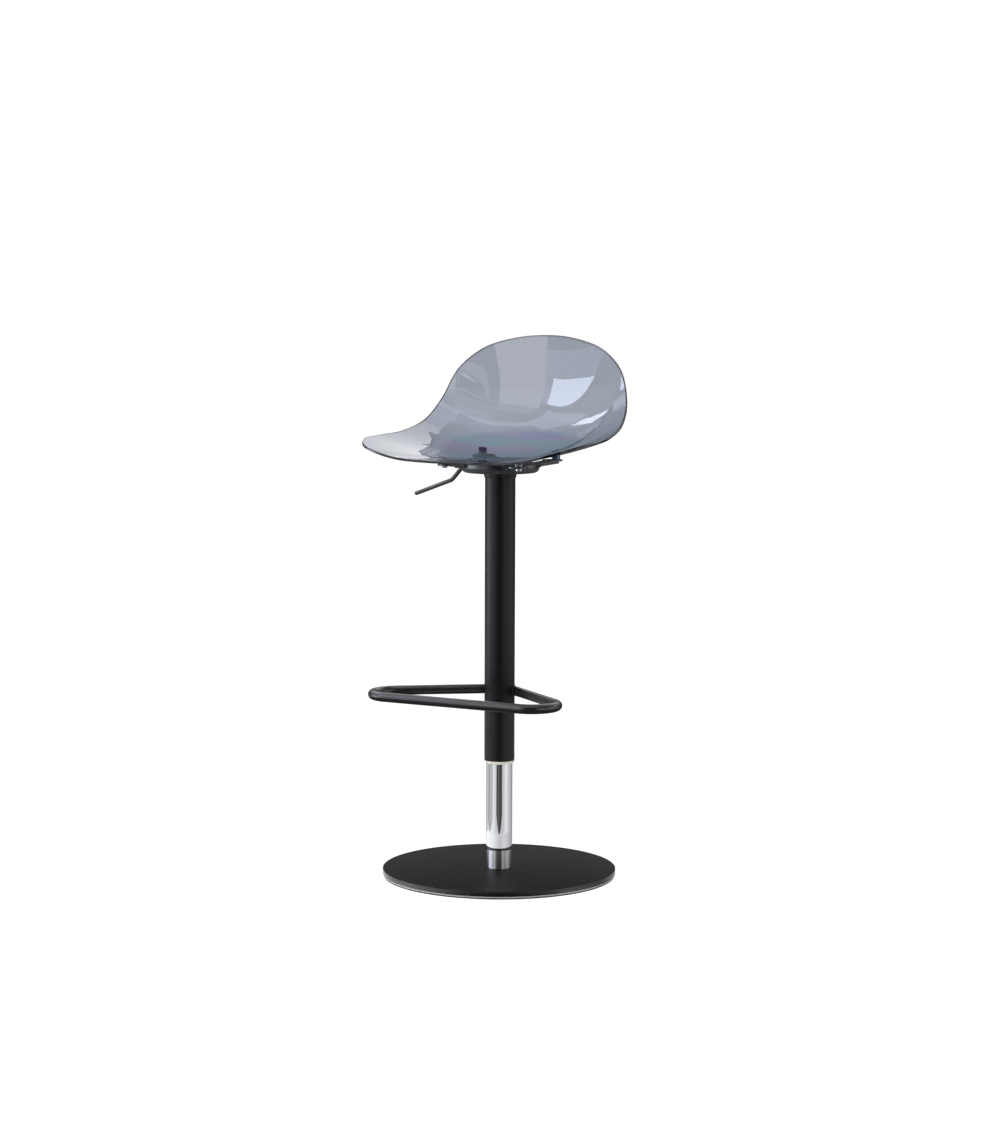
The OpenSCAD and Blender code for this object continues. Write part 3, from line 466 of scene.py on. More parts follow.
def glossy_rim():
    """The plate's rim, where the coat is rubbed smooth and waxed: black with a clear, wet-looking gloss."""
    material, tree, shader = principled("glossy_black_rim", "#0b0b0c", Roughness=0.3,
                                        Specular_IOR_Level=0.1, Coat_Weight=1.0, Coat_Roughness=0.08)
    relief(tree, shader, grain(tree, 7.0), 0.02, 0.4)
    return material


plate.data.materials.append(glossy_rim())
rim_depth, steepest_top = 1.0, 0.6
for face in plate.data.polygons:
    upright = abs(face.normal.z) < steepest_top
    if upright and face.center.to_2d().length > (base_high.x - rim_depth) * MM:
        face.material_index = 1


# Edge gasket
# A clear vinyl ring pressed round the plate's lower edge. Its slightly blue edge catches the light.
def clear_vinyl():
    """Moulded soft vinyl: translucent, faintly blue, with a dull skin."""
    material, tree, shader = principled("clear_vinyl", "#e6eef6", Roughness=0.28, IOR=1.52,
                                        Transmission_Weight=0.5)
    relief(tree, shader, grain(tree, 3.0), 0.03, 0.4)
    return material


gasket_low, gasket_high = (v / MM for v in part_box("edge_gasket"))
gasket_w = 14.0
gasket_outline = [(gasket_high.x - gasket_w, gasket_low.z), (gasket_high.x, gasket_low.z),
                  (gasket_high.x, gasket_high.z), (gasket_high.x - gasket_w, gasket_high.z)]
turned("clear_edge_gasket", soften(gasket_outline, [0.3, 0.9, 0.6, 0.3]), clear_vinyl(), "base",
       ["edge_gasket"], segments=256)


# Floor pad
# Pressed cork and rubber, cut as a disc and glued under the plate. Only its brown edge shows.
def pressed_cork():
    """Granulated cork bound with rubber: brown, matt, with pale and dark grains."""
    material, tree, shader = principled("pressed_cork", "#443220", Roughness=0.85, Specular_IOR_Level=0.3)
    tone(tree, shader, grain(tree, 1.6, detail=4.0), "#2c1e12", "#5f4629")
    relief(tree, shader, grain(tree, 0.9), 0.15, 0.8)
    return material


def assign(material, *node_names):
    """Gives CAD nodes another material."""
    for node_name in node_names:
        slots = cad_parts[node_name].data.materials
        slots.clear()
        slots.append(material)


assign(pressed_cork(), "floor_pad")


# Spigot and its screws
# The steel post that carries the column is turned and left satin. Fine turning lines run round it, so each
# reflection is a soft upright band. Six zinc plated screws hold its flange from below.
def turned_steel():
    """Satin turned steel: bright metal whose fine rings blur reflections up and down."""
    material, tree, shader = principled("turned_steel", "#e6e6e8", Metallic=1.0, Roughness=0.3,
                                        Anisotropic=1.0, Anisotropic_Rotation=0.25)
    round_axis = add_node(tree, "ShaderNodeTangent", direction_type="RADIAL", axis="Z")
    tree.links.new(round_axis.outputs[0], shader.inputs["Tangent"])
    vary(tree, shader, "Roughness", grain(tree, 2.5, stretch=(0.05, 0.05, 1)), 0.28, 0.34)
    return material


def zinc_plate():
    """Bright zinc plating on screws: pale grey metal with a cloudy sheen."""
    material, tree, shader = principled("zinc_plate", "#b9bcbf", Metallic=1.0, Roughness=0.32)
    vary(tree, shader, "Roughness", grain(tree, 1.5), 0.25, 0.4)
    return material


zinc = zinc_plate()
assign(turned_steel(), "base_spigot")
assign(zinc, "spigot_screws")


# Stand tube
# A 50 mm steel tube, polished and chromed, pressed over the spigot. Its lower end is coned in.
def polished_chrome():
    """Decorative chrome: a mirror with the faintest blue, and a very slight haze from polishing."""
    material, tree, shader = principled("polished_chrome", "#e3e5e8", Metallic=1.0, Roughness=0.035)
    vary(tree, shader, "Roughness", grain(tree, 12.0, stretch=(1, 1, 0.1)), 0.01, 0.035)
    return material


chrome = polished_chrome()
stand_low, stand_high = (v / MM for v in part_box("stand_tube"))
stand_wall, cone_h, cone_wall = 2.0, 1.6, 1.0
stand_in_r = stand_high.x - stand_wall
stand_outline = [(stand_in_r, stand_low.z), (stand_in_r + cone_wall, stand_low.z),
                 (stand_high.x, stand_low.z + cone_h), (stand_high.x, stand_high.z),
                 (stand_in_r, stand_high.z)]
turned("chromed_stand_tube", soften(stand_outline, [0.1, 0.3, 1.2, 0.4, 0.4]), chrome, "base", ["stand_tube"])


# Gas lift inside the column
# A black enamelled cylinder slides in a nylon guide bush and slide ring. Its chromed rod stands on a steel
# ball bearing under a rubber bumper, and the release button is in its top.
def nylon():
    """Natural nylon: cream, slightly translucent, with a fine moulded skin."""
    material, tree, shader = principled("cream_nylon", "#e9e3d3", Roughness=0.42, Subsurface_Weight=0.25,
                                        Subsurface_Radius=(0.004, 0.003, 0.002))
    relief(tree, shader, grain(tree, 0.8), 0.02, 0.4)
    return material


def bearing_steel():
    """Ground and hardened steel: bright, nearly mirror smooth."""
    material, tree, shader = principled("bearing_steel", "#c9cacb", Metallic=1.0, Roughness=0.15)
    vary(tree, shader, "Roughness", grain(tree, 1.0), 0.1, 0.22)
    return material


def black_rubber():
    """Moulded rubber: black and dull, with a greyish bloom."""
    material, tree, shader = principled("black_rubber", "#161617", Roughness=0.7)
    tone(tree, shader, grain(tree, 4.0), "#121213", "#1e1e1f")
    relief(tree, shader, grain(tree, 0.7), 0.04, 0.5)
    return material


def aluminium():
    """Turned aluminium: pale, with fine rings."""
    material, tree, shader = principled("turned_aluminium", "#c2c4c6", Metallic=1.0, Roughness=0.3)
    relief(tree, shader, grain(tree, 0.5, stretch=(0.02, 0.02, 1)), 0.01, 0.3)
    return material


def black_enamel():
    """Stoved gloss enamel on the cylinder: black, smooth, with slight waves."""
    material, tree, shader = principled("black_enamel", "#0e0e10", Roughness=0.16)
    relief(tree, shader, grain(tree, 5.0), 0.02, 0.3)
    return material


def spring_steel():
    """Blackened spring steel: dark, oily metal."""
    material, tree, shader = principled("spring_steel", "#3d3f42", Metallic=1.0, Roughness=0.38)
    vary(tree, shader, "Roughness", grain(tree, 1.0), 0.3, 0.5)
    return material


cream_nylon = nylon()
assign(cream_nylon, "cylinder_guide", "slide_ring")
assign(bearing_steel(), "lower_race", "bearing_balls", "upper_race")
assign(black_rubber(), "rubber_bumper", "rod_seal")
assign(chrome, "piston_rod", "valve_button")
assign(spring_steel(), "rod_clip")
assign(aluminium(), "piston")
assign(black_enamel(), "gas_cylinder")


# Outer tube, its bush and screw
# A 57 mm steel tube with black powder coat slides over the chromed one on a cream nylon bush, whose flange
# shows below the tube. A small screw holds the bush.
tube_low, tube_high = (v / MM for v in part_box("outer_tube"))
tube_wall = 1.5
tube_in_r = tube_high.x - tube_wall
tube_outline = [(tube_in_r, tube_low.z), (tube_high.x, tube_low.z), (tube_high.x, tube_high.z),
                (tube_in_r, tube_high.z)]
turned("black_outer_tube", soften(tube_outline, [0.3, 0.7, 0.3, 0.3]), powder_coat, "carriage",
       ["outer_tube"])

bush_low, bush_high = (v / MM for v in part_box("tube_bush"))
bush_play, bush_press = 0.08, 0.05
bush_in_r, bush_out_r = stand_high.x + bush_play, tube_in_r - bush_press
bush_outline = [(bush_in_r, bush_low.z), (bush_high.x, bush_low.z), (bush_high.x, tube_low.z),
                (bush_out_r, tube_low.z), (bush_out_r, bush_high.z), (bush_in_r, bush_high.z)]
turned("cream_tube_bush", soften(bush_outline, [0.6, 1.6, 0.5, 0, 0.2, 0.2]), cream_nylon, "carriage",
       ["tube_bush"])
assign(zinc, "bush_screw")


# Foot ring
# One 18 mm round steel bar, bent twice, welded to the outer tube at both ends and powder coated with it.
# Each weld is a ring of small overlapping ripples.
def path_mesh(name, points, radii):
    """A line of points in millimetres, with the bar's radius at each."""
    mesh = bpy.data.meshes.new(name)
    mesh.from_pydata([Vector(p) * MM for p in points], [(i, i + 1) for i in range(len(points) - 1)], [])
    thickness = mesh.attributes.new("bar_radius", "FLOAT", "POINT")
    thickness.data.foreach_set("value", [r * MM for r in radii])
    return mesh


def tree_of(name, inputs):
    """An empty Geometry Nodes group with a geometry input, the named inputs, and a geometry output."""
    tree = bpy.data.node_groups.new(name, "GeometryNodeTree")
    tree.interface.new_socket("Geometry", in_out="INPUT", socket_type="NodeSocketGeometry")
    for label, (kind, value) in inputs.items():
        socket = tree.interface.new_socket(label, in_out="INPUT", socket_type="NodeSocket" + kind)
        if value is not None:
            socket.default_value = value
    tree.interface.new_socket("Geometry", in_out="OUTPUT", socket_type="NodeSocketGeometry")
    return tree, add_node(tree, "NodeGroupInput").outputs


def end_tree(tree, geometry, material):
    """Realizes what a tree has made, gives it its material and smooth shading, and sends it out."""
    solid = add_node(tree, "GeometryNodeRealizeInstances", geometry)
    smooth = add_node(tree, "GeometryNodeSetShadeSmooth", solid.outputs[0])
    dressed = add_node(tree, "GeometryNodeSetMaterial", smooth.outputs[0], named={"Material": material})
    add_node(tree, "NodeGroupOutput", dressed.outputs[0])


def as_made(piece):
    """The plain mesh that a piece's modifiers make of it. The piece itself goes."""
    depsgraph = bpy.context.evaluated_depsgraph_get()
    mesh = bpy.data.meshes.new_from_object(piece.evaluated_get(depsgraph), depsgraph=depsgraph)
    bpy.data.objects.remove(piece)
    return mesh


def grown(name, mesh, tree, values):
    """The plain mesh that a tree makes from a mesh, with the tree's inputs set by their labels."""
    seed = new_object(name, mesh)
    modifier = seed.modifiers.new(name, "NODES")
    modifier.node_group = tree
    labels = {item.name: item.identifier for item in tree.interface.items_tree if item.in_out == "INPUT"}
    for label, value in values.items():
        modifier[labels[label]] = value
    return as_made(seed)


def bent_bar_tree():
    """Sweeps a round section along a path, as thick as the path says at each point."""
    tree, given = tree_of("bent_bar", {"Sides": ("Int", 48), "Material": ("Material", None)})
    path = add_node(tree, "GeometryNodeMeshToCurve", given["Geometry"])
    radius = add_node(tree, "GeometryNodeInputNamedAttribute", "bar_radius", data_type="FLOAT")
    thick = add_node(tree, "GeometryNodeSetCurveRadius", path.outputs[0],
                     named={"Radius": radius.outputs["Attribute"]})
    section = add_node(tree, "GeometryNodeCurvePrimitiveCircle", named={"Resolution": given["Sides"],
                                                                        "Radius": 1.0})
    swept = add_node(tree, "GeometryNodeCurveToMesh", thick.outputs[0], section.outputs[0],
                     named={"Scale": radius.outputs["Attribute"], "Fill Caps": True})
    end_tree(tree, swept.outputs[0], given["Material"])
    return tree


def arc(centre, start, axis, angle, steps):
    """Points of an arc about a centre, from a start point, turned about an axis."""
    c, s = Vector(centre), Vector(start)
    return [c + Matrix.Rotation(angle * i / steps, 3, axis) @ (s - c) for i in range(steps + 1)]


ring_bar_r, ring_z, ring_front = 9.0, 352.0, 184.0
ring_bend_x, ring_bend_r = 140.0, 48.0
ring_side_angle = math.radians(53)
turn_centre = Vector((ring_bend_x, ring_bend_r - ring_front, ring_z))
right_bend = arc(turn_centre, (ring_bend_x, -ring_front, ring_z), "Z", math.radians(90) + ring_side_angle, 40)
side_way = Vector((-math.sin(ring_side_angle), math.cos(ring_side_angle), 0))
side_len = right_bend[-1].x / math.sin(ring_side_angle) - tube_in_r
right_half = [*right_bend, right_bend[-1] + side_way * side_len]
left_half = [Vector((-p.x, p.y, p.z)) for p in reversed(right_half)]
ring_path = [*left_half, *right_half]
bent_bar = bent_bar_tree()
ring_mesh = grown("foot_ring_bar", path_mesh("foot_ring_path", ring_path, [ring_bar_r] * len(ring_path)),
                  bent_bar, {"Sides": 64, "Material": bar_coat})


def cut_round_tube(name, mesh):
    """Cuts away what of a mesh lies inside the outer tube."""
    tube_gap, cutter_h = 0.05, 60
    cutter_r = (tube_high.x + tube_gap) * MM
    cutter_mesh = bpy.data.meshes.new("tube_cutter")
    work = bmesh.new()
    bmesh.ops.create_cone(work, cap_ends=True, segments=128, radius1=cutter_r, radius2=cutter_r,
                          depth=cutter_h * MM, matrix=Matrix.Translation((0, 0, ring_z * MM)))
    work.to_mesh(cutter_mesh)
    work.free()
    cutter = new_object("tube_cutter", cutter_mesh)
    piece = new_object(name, mesh)
    cut = piece.modifiers.new("cut", "BOOLEAN")
    cut.object = cutter
    cut.operation = "DIFFERENCE"
    cut.solver = "EXACT"
    made = as_made(piece)
    bpy.data.objects.remove(cutter)
    return made


finish_piece("black_foot_ring", cut_round_tube("foot_ring_cut", ring_mesh), bar_coat, "carriage",
             ["foot_ring"])


def weld_tree():
    """Lays small flattened ripples along the weld's line, each partly over the one before."""
    tree, given = tree_of("weld_ripples", {"Spacing": ("Float", 0.0015), "Bead": ("Float", 0.0016),
                                           "Material": ("Material", None)})
    line = add_node(tree, "GeometryNodeMeshToCurve", given["Geometry"])
    spots = add_node(tree, "GeometryNodeCurveToPoints", line.outputs[0], mode="LENGTH",
                     named={"Length": given["Spacing"]})
    ripple = add_node(tree, "GeometryNodeMeshIcoSphere", given["Bead"], 2)
    flattened = (1.0, 1.0, 0.62)
    laid = add_node(tree, "GeometryNodeInstanceOnPoints", spots.outputs["Points"],
                    named={"Instance": ripple.outputs["Mesh"], "Rotation": spots.outputs["Rotation"],
                           "Scale": flattened})
    end_tree(tree, laid.outputs[0], given["Material"])
    return tree


def weld_line(side):
    """The line on which one side bar meets the outer tube. The bar's rear edge passes just outside it."""
    foot = Vector((side * right_half[-1].x, right_half[-1].y, ring_z))
    way = Vector((side * -side_way.x, -side_way.y, 0))
    across = Vector((-way.y, way.x, 0)) * side
    steps = 48
    line = []
    for i in range(steps + 1):
        turn = 2 * math.pi * i / steps
        start = foot + across * (ring_bar_r * math.cos(turn)) + Vector((0, 0, ring_bar_r * math.sin(turn)))
        b = start.x * way.x + start.y * way.y
        room = b * b - start.x ** 2 - start.y ** 2 + tube_high.x ** 2
        if room > 0 and math.sqrt(room) > b:
            line.append(start + way * (math.sqrt(room) - b))
    return line


welds = weld_tree()
for side, weld_name in ((1, "right_ring_weld"), (-1, "left_ring_weld")):
    line = weld_line(side)
    ripples = grown(weld_name, path_mesh(weld_name + "_line", line, [1.0] * len(line)), welds,
                    {"Spacing": 1.4 * MM, "Bead": 1.5 * MM, "Material": bar_coat})
    finish_piece(weld_name, ripples, bar_coat, "carriage", (), sharp=180)


# Bracket under the seat
# Pressed steel: a channel round the lever and a round plate with four arms, all powder coated. The cone
# housing in it grips the gas cylinder. The pivot pin is bare zinc plated steel.
assign(powder_coat, "cone_housing", "lever_channel")
assign(bar_coat, "seat_bracket")
assign(zinc, "pivot_pin")


# Height lever
# An 8 mm steel rod, bent twice, with a round end, powder coated like the bracket.
lever_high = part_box("lever_rod")[1] / MM
lever_r = 4.0
lever_z = lever_high.z - lever_r
bend_1_x, bend_1, bend_1_r = 79.0, math.radians(48), 10.0
bend_2, bend_2_r = math.radians(28), 22.0
lever_middle, lever_handle = 36.5, 83.0
arc_1 = bend_1_r * math.tan(bend_1 / 2)
arc_2 = bend_2_r * math.tan(bend_2 / 2)


def lever_route():
    """Points of the lever's middle line and its radius at each, from the inner end to the handle's tip."""
    heading = Vector((-1, 0, 0))
    inner_end = Vector((lever_high.x, 0, lever_z))
    route = [inner_end, inner_end + heading * (lever_high.x + bend_1_x - arc_1)]
    for angle, bend_r, straight in ((-bend_1, bend_1_r, lever_middle - arc_1 - arc_2),
                                    (bend_2, bend_2_r, lever_handle - arc_2)):
        start = route[-1]
        side = Matrix.Rotation(math.copysign(math.radians(90), angle), 3, "Y") @ heading
        route += arc(start + side * bend_r, start, "Y", angle, 16)[1:]
        heading = Matrix.Rotation(angle, 3, "Y") @ heading
        route.append(route[-1] + heading * straight)
    radii = [lever_r] * len(route)
    end = route[-1]
    tip_steps, tip_angle = 8, 89.0
    for i in range(1, tip_steps + 1):
        lift = math.radians(tip_angle * i / tip_steps)
        route.append(end + heading * (lever_r * math.sin(lift)))
        radii.append(lever_r * math.cos(lift))
    return route, radii


lever_points, lever_radii = lever_route()
lever_mesh = grown("lever_bar", path_mesh("lever_path", lever_points, lever_radii), bent_bar,
                   {"Sides": 32, "Material": bar_coat})
finish_piece("bent_height_lever", lever_mesh, bar_coat, "lever", ["lever_rod"])


# Cover dish and collar
# A dark grey moulded dish with a fine spark-eroded texture hides the channel. The collar that clamps the
# tube's upper end is powder coated, and so is its screw.
def textured_plastic():
    """Moulded ABS with a fine eroded skin: dark grey and dull."""
    material, tree, shader = principled("textured_plastic", "#2b2c2f", Roughness=0.5)
    tone(tree, shader, grain(tree, 6.0), "#28292c", "#303135")
    relief(tree, shader, grain(tree, 0.6), 0.03, 0.6)
    return material


assign(textured_plastic(), "cover_dish")
assign(powder_coat, "tube_collar", "collar_screw")


# Seat shell
# One injection moulded sheet of smoke polycarbonate, 4.5 mm thick, polished on both faces, with a rounded
# lip all round. Its edge is painted dark: painted shade for the light that travels along the wall. Four
# posts are welded under it.
gate_place = (-0.01, 0.08, 0.8)
# Distances from the gate within which the thin film and the painted rainbow sheen are full, and beyond which
# both are gone
strained_all_over, strained_up_to = 0.12, 0.178
thin_film_nm, thick_film_nm = 250.0, 950.0
tint_density = 288.0


def smoke_polycarbonate():
    """Clear polycarbonate tinted blue-grey: it takes its colour from its depth, so thin views are pale. Where
    the plastic flowed in, a thin film as thick as its strain tints its reflections, and bands of faint pink
    and
    cyan are painted into its colour: painted sheen for the rainbow that its reflections show there."""
    material, tree = empty_material("smoke_polycarbonate")
    flow = grain(tree, 90.0, stretch=(0.3, 1.0, 2.2), detail=1.0)
    strain = add_node(tree, "ShaderNodeMapRange", flow, noise_low, noise_high, thin_film_nm, thick_film_nm)
    spot = add_node(tree, "ShaderNodeTexCoord").outputs["Object"]
    off_gate = add_node(tree, "ShaderNodeVectorMath", spot, gate_place, operation="SUBTRACT")
    flatter = add_node(tree, "ShaderNodeVectorMath", off_gate.outputs[0], (1.0, 1.0, 4.0),
                       operation="MULTIPLY")
    from_gate = add_node(tree, "ShaderNodeVectorMath", flatter.outputs[0], operation="LENGTH")
    near_gate = add_node(tree, "ShaderNodeMapRange", from_gate.outputs["Value"], strained_all_over,
                         strained_up_to, 1.0, 0.0, interpolation_type="SMOOTHSTEP")
    film = add_node(tree, "ShaderNodeMath", strain.outputs[0], near_gate.outputs[0], operation="MULTIPLY")
    # Pale cyan and pink bands painted into the sheet's colour near the gate: painted sheen, standing in for
    # rainbow tints in its reflections
    painted_sheen_bands = add_node(tree, "ShaderNodeValToRGB", flow)
    for place, colour in ((0.3, "#cdecfa"), (0.42, "#f4e0ef"), (0.52, "#d3f1f1"), (0.61, "#f0e2f6"),
                          (0.72, "#cfe9fc")):
        painted_sheen_bands.color_ramp.elements.new(place).color = linear(colour)
    painted_sheen_bands.color_ramp.elements.remove(painted_sheen_bands.color_ramp.elements[0])
    painted_sheen_bands.color_ramp.elements.remove(painted_sheen_bands.color_ramp.elements[-1])
    # A Mix node takes its two colours at inputs 6 and 7 and gives the result at output 2
    sheet_colour = add_node(tree, "ShaderNodeMix", near_gate.outputs[0], data_type="RGBA",
                            named={6: linear("#ffffff"), 7: painted_sheen_bands.outputs[0]})
    # The lip's faces and a band along the rim are painted near black (#101318): painted shade for the light
    # that travels along the wall
    corner = add_node(tree, "ShaderNodeAttribute", attribute_name="lip_face_shade_paint").outputs["Fac"]
    band = add_node(tree, "ShaderNodeAttribute", attribute_name="rim_band_shade_paint").outputs["Fac"]
    painted_edge_shade = add_node(tree, "ShaderNodeMath", corner, band, operation="MAXIMUM")
    skin_colour = add_node(tree, "ShaderNodeMix", painted_edge_shade.outputs[0], data_type="RGBA",
                           named={6: sheet_colour.outputs[2], 7: linear("#101318")})
    shader = add_node(tree, "ShaderNodeBsdfPrincipled", skin_colour.outputs[2],
                      named={"Roughness": 0.0, "IOR": 1.586, "Transmission Weight": 1.0,
                             "Thin Film Thickness": film.outputs[0], "Thin Film IOR": 1.4})
    clear = add_node(tree, "ShaderNodeBsdfTransparent", linear("#c3cad4"))
    path = add_node(tree, "ShaderNodeLightPath")
    skin = add_node(tree, "ShaderNodeMixShader", path.outputs["Is Shadow Ray"], shader.outputs[0],
                    clear.outputs[0])
    depth = add_node(tree, "ShaderNodeVolumeAbsorption", linear("#6e819e"), tint_density)
    add_node(tree, "ShaderNodeOutputMaterial", skin.outputs[0], named={"Volume": depth.outputs[0]})
    return material


smoke = smoke_polycarbonate()
plate_top = 779.5
seat_w, seat_front, seat_depth, back_rise = 469.0, 160.0, 347.0, 229.5
pan_y, pan_gap, shell_wall = 30.0, 2.2, 4.5
pan_z = plate_top + pan_gap + shell_wall / 2
# Share of half the width, of the depth behind the front edge and of the back's rise, from front to back
edge_shape = [
    (0, 0, 0.022), (0.27, -0.004, 0.022), (0.56, -0.018, 0.044), (0.83, 0.008, 0.113),
    (0.97, 0.135, 0.168), (0.98, 0.315, 0.187), (0.935, 0.505, 0.211), (0.897, 0.7, 0.296),
    (0.845, 0.829, 0.473), (0.745, 0.896, 0.72), (0.54, 0.945, 0.895), (0.27, 0.98, 0.977), (0, 1, 1),
]


def edge_line():
    """The points of the shell's edge all round, closed."""
    half = [Vector((x * seat_w / 2, y * seat_depth - seat_front, pan_z + z * back_rise))
            for x, y, z in edge_shape]
    points = half + [Vector((-p.x, p.y, p.z)) for p in reversed(half[1:-1])]
    mesh = bpy.data.meshes.new("seat_edge")
    count = len(points)
    mesh.from_pydata([p * MM for p in points], [(i, (i + 1) % count) for i in range(count)], [])
    return mesh


def partway(tree, level, rise, share_out, share_up):
    """A vector that goes so much of the level way and so much of the rise."""
    flat = add_node(tree, "ShaderNodeVectorMath", level, named={"Scale": share_out}, operation="SCALE")
    climb = add_node(tree, "ShaderNodeMath", rise, share_up, operation="MULTIPLY")
    upward = add_node(tree, "ShaderNodeCombineXYZ", named={"Z": climb.outputs[0]})
    return add_node(tree, "ShaderNodeVectorMath", flat.outputs[0], upward.outputs[0],
                    operation="ADD").outputs[0]


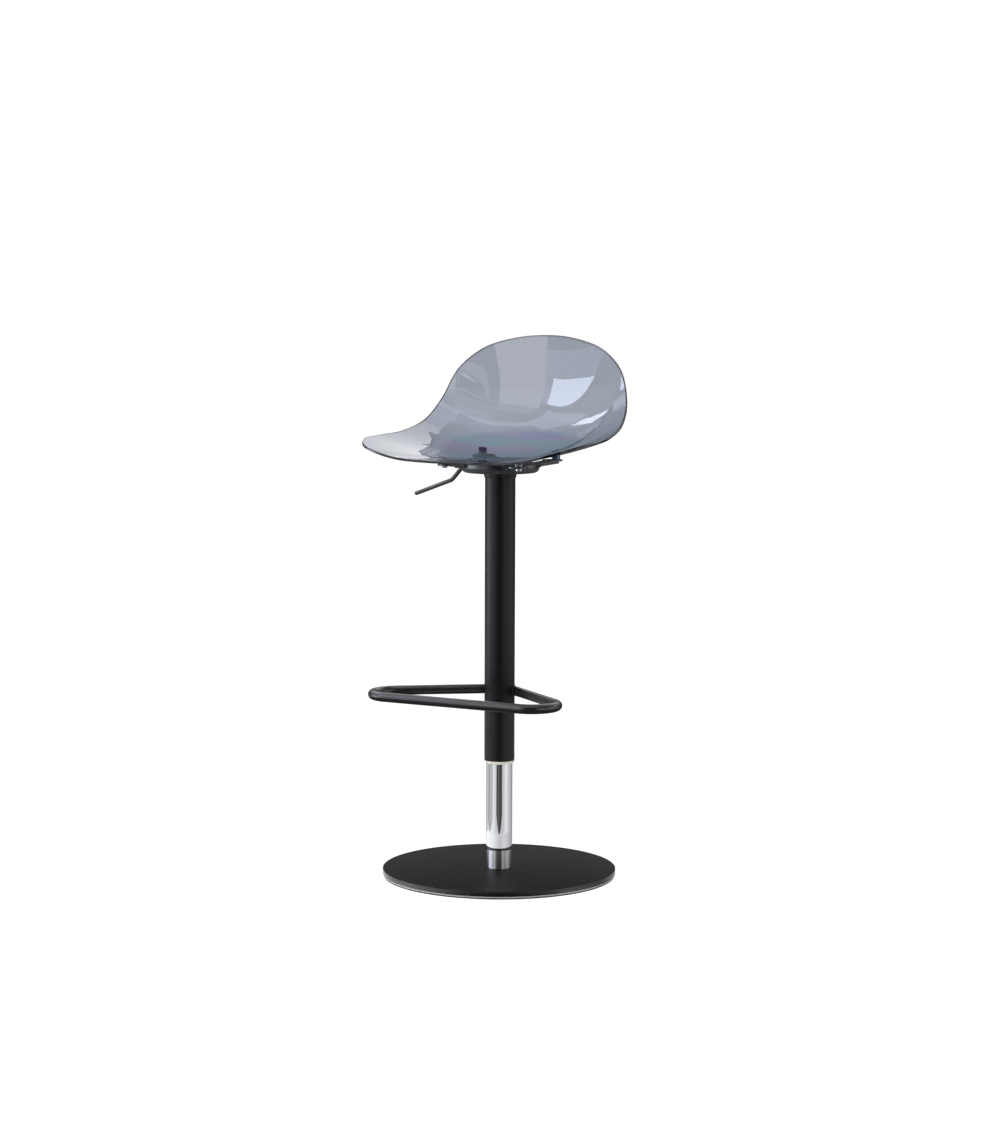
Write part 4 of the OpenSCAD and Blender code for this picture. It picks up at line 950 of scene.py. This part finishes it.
def shell_tree():
    """Spans the shell's middle surface with ribs from the pan's lowest point to a smooth edge. A rib starts
    level, turns up at one share of its way and ends at the edge. The shares differ from front to back."""
    # How far the rings crowd towards the edge, and a power that leaves nothing except at the edge
    crowding, edge_power = 0.8, 60.0
    # Distances from the rim at which the lip's band of painted shade starts to fade and is gone
    painted_shade_up_to, clear_from = 1.5 * MM, 2.8 * MM
    tree, given = tree_of("clear_shell_form", {
        "Lowest Point": ("Vector", (0, 0, 0)), "Back Rise": ("Float", 0.2),
        "Start Front": ("Float", 0.2), "Start Back": ("Float", 0.62),
        "End Front": ("Float", 0.6), "End Back": ("Float", 0.985),
        "Lift Front": ("Float", 0.48), "Lift Back": ("Float", 0.06), "Lip": ("Float", 0.002),
        "Rings": ("Int", 61), "Ribs": ("Int", 257), "Material": ("Material", None)})
    line = add_node(tree, "GeometryNodeMeshToCurve", given["Geometry"])
    smooth = add_node(tree, "GeometryNodeCurveSplineType", line.outputs[0], spline_type="CATMULL_ROM")
    fine = add_node(tree, "GeometryNodeSetSplineResolution", smooth.outputs[0], named={"Resolution": 40})
    grid = add_node(tree, "GeometryNodeMeshGrid", 1.0, 1.0, given["Rings"], given["Ribs"])
    share = add_node(tree, "ShaderNodeSeparateXYZ", grid.outputs["UV Map"])
    quarter = add_node(tree, "ShaderNodeMath", share.outputs[0], math.pi / 2, operation="MULTIPLY")
    swell = add_node(tree, "ShaderNodeMath", quarter.outputs[0], operation="SINE")
    # A Mix node takes its two numbers at inputs 2 and 3
    u = add_node(tree, "ShaderNodeMix", crowding, named={2: share.outputs[0], 3: swell.outputs[0]}).outputs[0]
    v = add_node(tree, "ShaderNodeMath", 1.0, u, operation="SUBTRACT").outputs[0]
    edge = add_node(tree, "GeometryNodeSampleCurve", fine.outputs[0], mode="FACTOR",
                    named={"Factor": share.outputs[1]})
    out = add_node(tree, "ShaderNodeVectorMath", edge.outputs["Position"], given["Lowest Point"],
                   operation="SUBTRACT")
    parts = add_node(tree, "ShaderNodeSeparateXYZ", out.outputs[0])
    rise = parts.outputs["Z"]
    height = add_node(tree, "ShaderNodeMath", rise, given["Back Rise"], operation="DIVIDE", use_clamp=True)
    shares = {name: add_node(tree, "ShaderNodeMix", height.outputs[0],
                             named={2: given[name + " Front"], 3: given[name + " Back"]}).outputs[0]
              for name in ("Start", "End", "Lift")}
    # A rib is a cubic Bezier curve, and these are the weights of its last three points
    weights = []
    for most, least in ((v, u), (u, v)):
        square = add_node(tree, "ShaderNodeMath", most, most, operation="MULTIPLY")
        product = add_node(tree, "ShaderNodeMath", square.outputs[0], least, operation="MULTIPLY")
        weights.append(add_node(tree, "ShaderNodeMath", product.outputs[0], 3.0, operation="MULTIPLY"))
    near, far = (weight.outputs[0] for weight in weights)
    at_edge = add_node(tree, "ShaderNodeMath", u, 3.0, operation="POWER").outputs[0]
    past_turn = add_node(tree, "ShaderNodeMath", far, shares["End"], at_edge, operation="MULTIPLY_ADD")
    reach = add_node(tree, "ShaderNodeMath", near, shares["Start"], past_turn.outputs[0],
                     operation="MULTIPLY_ADD")
    lift = add_node(tree, "ShaderNodeMath", far, shares["Lift"], at_edge, operation="MULTIPLY_ADD")
    level = add_node(tree, "ShaderNodeVectorMath", out.outputs[0], (1.0, 1.0, 0.0), operation="MULTIPLY")
    rib = partway(tree, level.outputs[0], rise, reach.outputs[0], lift.outputs[0])
    level_left = add_node(tree, "ShaderNodeMath", 1.0, shares["End"], operation="SUBTRACT")
    climb_left = add_node(tree, "ShaderNodeMath", 1.0, shares["Lift"], operation="SUBTRACT")
    end_way = partway(tree, level.outputs[0], rise, level_left.outputs[0], climb_left.outputs[0])
    end_unit = add_node(tree, "ShaderNodeVectorMath", end_way, operation="NORMALIZE")
    only_edge = add_node(tree, "ShaderNodeMath", u, edge_power, operation="POWER")
    lip_reach = add_node(tree, "ShaderNodeMath", only_edge.outputs[0], given["Lip"], operation="MULTIPLY")
    lip = add_node(tree, "ShaderNodeVectorMath", end_unit.outputs[0], named={"Scale": lip_reach.outputs[0]},
                   operation="SCALE")
    with_lip = add_node(tree, "ShaderNodeVectorMath", rib, lip.outputs[0], operation="ADD")
    place = add_node(tree, "ShaderNodeVectorMath", with_lip.outputs[0], given["Lowest Point"],
                     operation="ADD")
    spanned = add_node(tree, "GeometryNodeSetPosition", grid.outputs["Mesh"],
                       named={"Position": place.outputs[0]})
    lip_end = add_node(tree, "ShaderNodeVectorMath", end_unit.outputs[0], named={"Scale": given["Lip"]},
                       operation="SCALE")
    rim_place = add_node(tree, "ShaderNodeVectorMath", edge.outputs["Position"], lip_end.outputs[0],
                         operation="ADD")
    rim_gap = add_node(tree, "ShaderNodeVectorMath", place.outputs[0], rim_place.outputs[0],
                       operation="DISTANCE")
    band = add_node(tree, "ShaderNodeMapRange", rim_gap.outputs["Value"], painted_shade_up_to, clear_from, 1.0, 0.0)
    marked = add_node(tree, "GeometryNodeStoreNamedAttribute", data_type="FLOAT", domain="POINT",
                      named={"Geometry": spanned.outputs[0], "Name": "rim_band_shade_paint",
                             "Value": band.outputs[0]})
    closed = add_node(tree, "GeometryNodeMergeByDistance", marked.outputs[0], named={"Distance": 1e-6})
    end_tree(tree, closed.outputs[0], given["Material"])
    return tree


def walled(name, mesh, wall, lip_r):
    """Gives a sheet its wall and a rounded lip, and marks how much painted shade the lip's faces get."""
    sheet_painted_shade, corner_painted_shade, lip_painted_shade = 0.0, 1.0, 0.85
    mesh.materials.clear()
    for _ in range(3):
        mesh.materials.append(smoke)
    sheet = new_object(name, mesh)
    solid = sheet.modifiers.new("wall", "SOLIDIFY")
    solid.thickness = wall
    solid.offset = 0.0
    solid.use_even_offset = True
    solid.material_offset_rim = 2
    lip = sheet.modifiers.new("lip", "BEVEL")
    lip.width = lip_r
    lip.segments = 4
    lip.material = 1
    lip.limit_method = "ANGLE"
    lip.angle_limit = math.radians(60)
    made = as_made(sheet)
    corners = [(sheet_painted_shade, corner_painted_shade, lip_painted_shade)[face.material_index] for face in made.polygons]
    made.attributes.new("lip_face_shade_paint", "FLOAT", "FACE").data.foreach_set("value", corners)
    return made


lip_r, lip_inset = 1.1, 0.55
shell_mesh = grown("shell_form", edge_line(), shell_tree(), {
    "Lowest Point": Vector((0, -pan_y, pan_z)) * MM, "Back Rise": back_rise * MM,
    "Lip": (shell_wall / 2 - lip_inset) * MM, "Material": smoke})
finish_piece("clear_seat_shell", walled("shell_wall", shell_mesh, shell_wall * MM, lip_r * MM), smoke,
             "carriage", ["seat_shell"], sharp=180)


# Posts, inserts and screws
# Four clear posts under the shell take knurled brass inserts with a nickel skin, and zinc plated screws from
# below hold the bracket's arms to them.
def plated_brass():
    """Nickel plated brass: pale metal with the faintest warm tone and fine rings."""
    material, tree, shader = principled("nickel_plated_brass", "#b9b5ab", Metallic=1.0, Roughness=0.26)
    vary(tree, shader, "Roughness", grain(tree, 0.8), 0.2, 0.34)
    return material


assign(smoke, "seat_bosses")
assign(plated_brass(), "boss_inserts")
assign(zinc, "seat_screws")
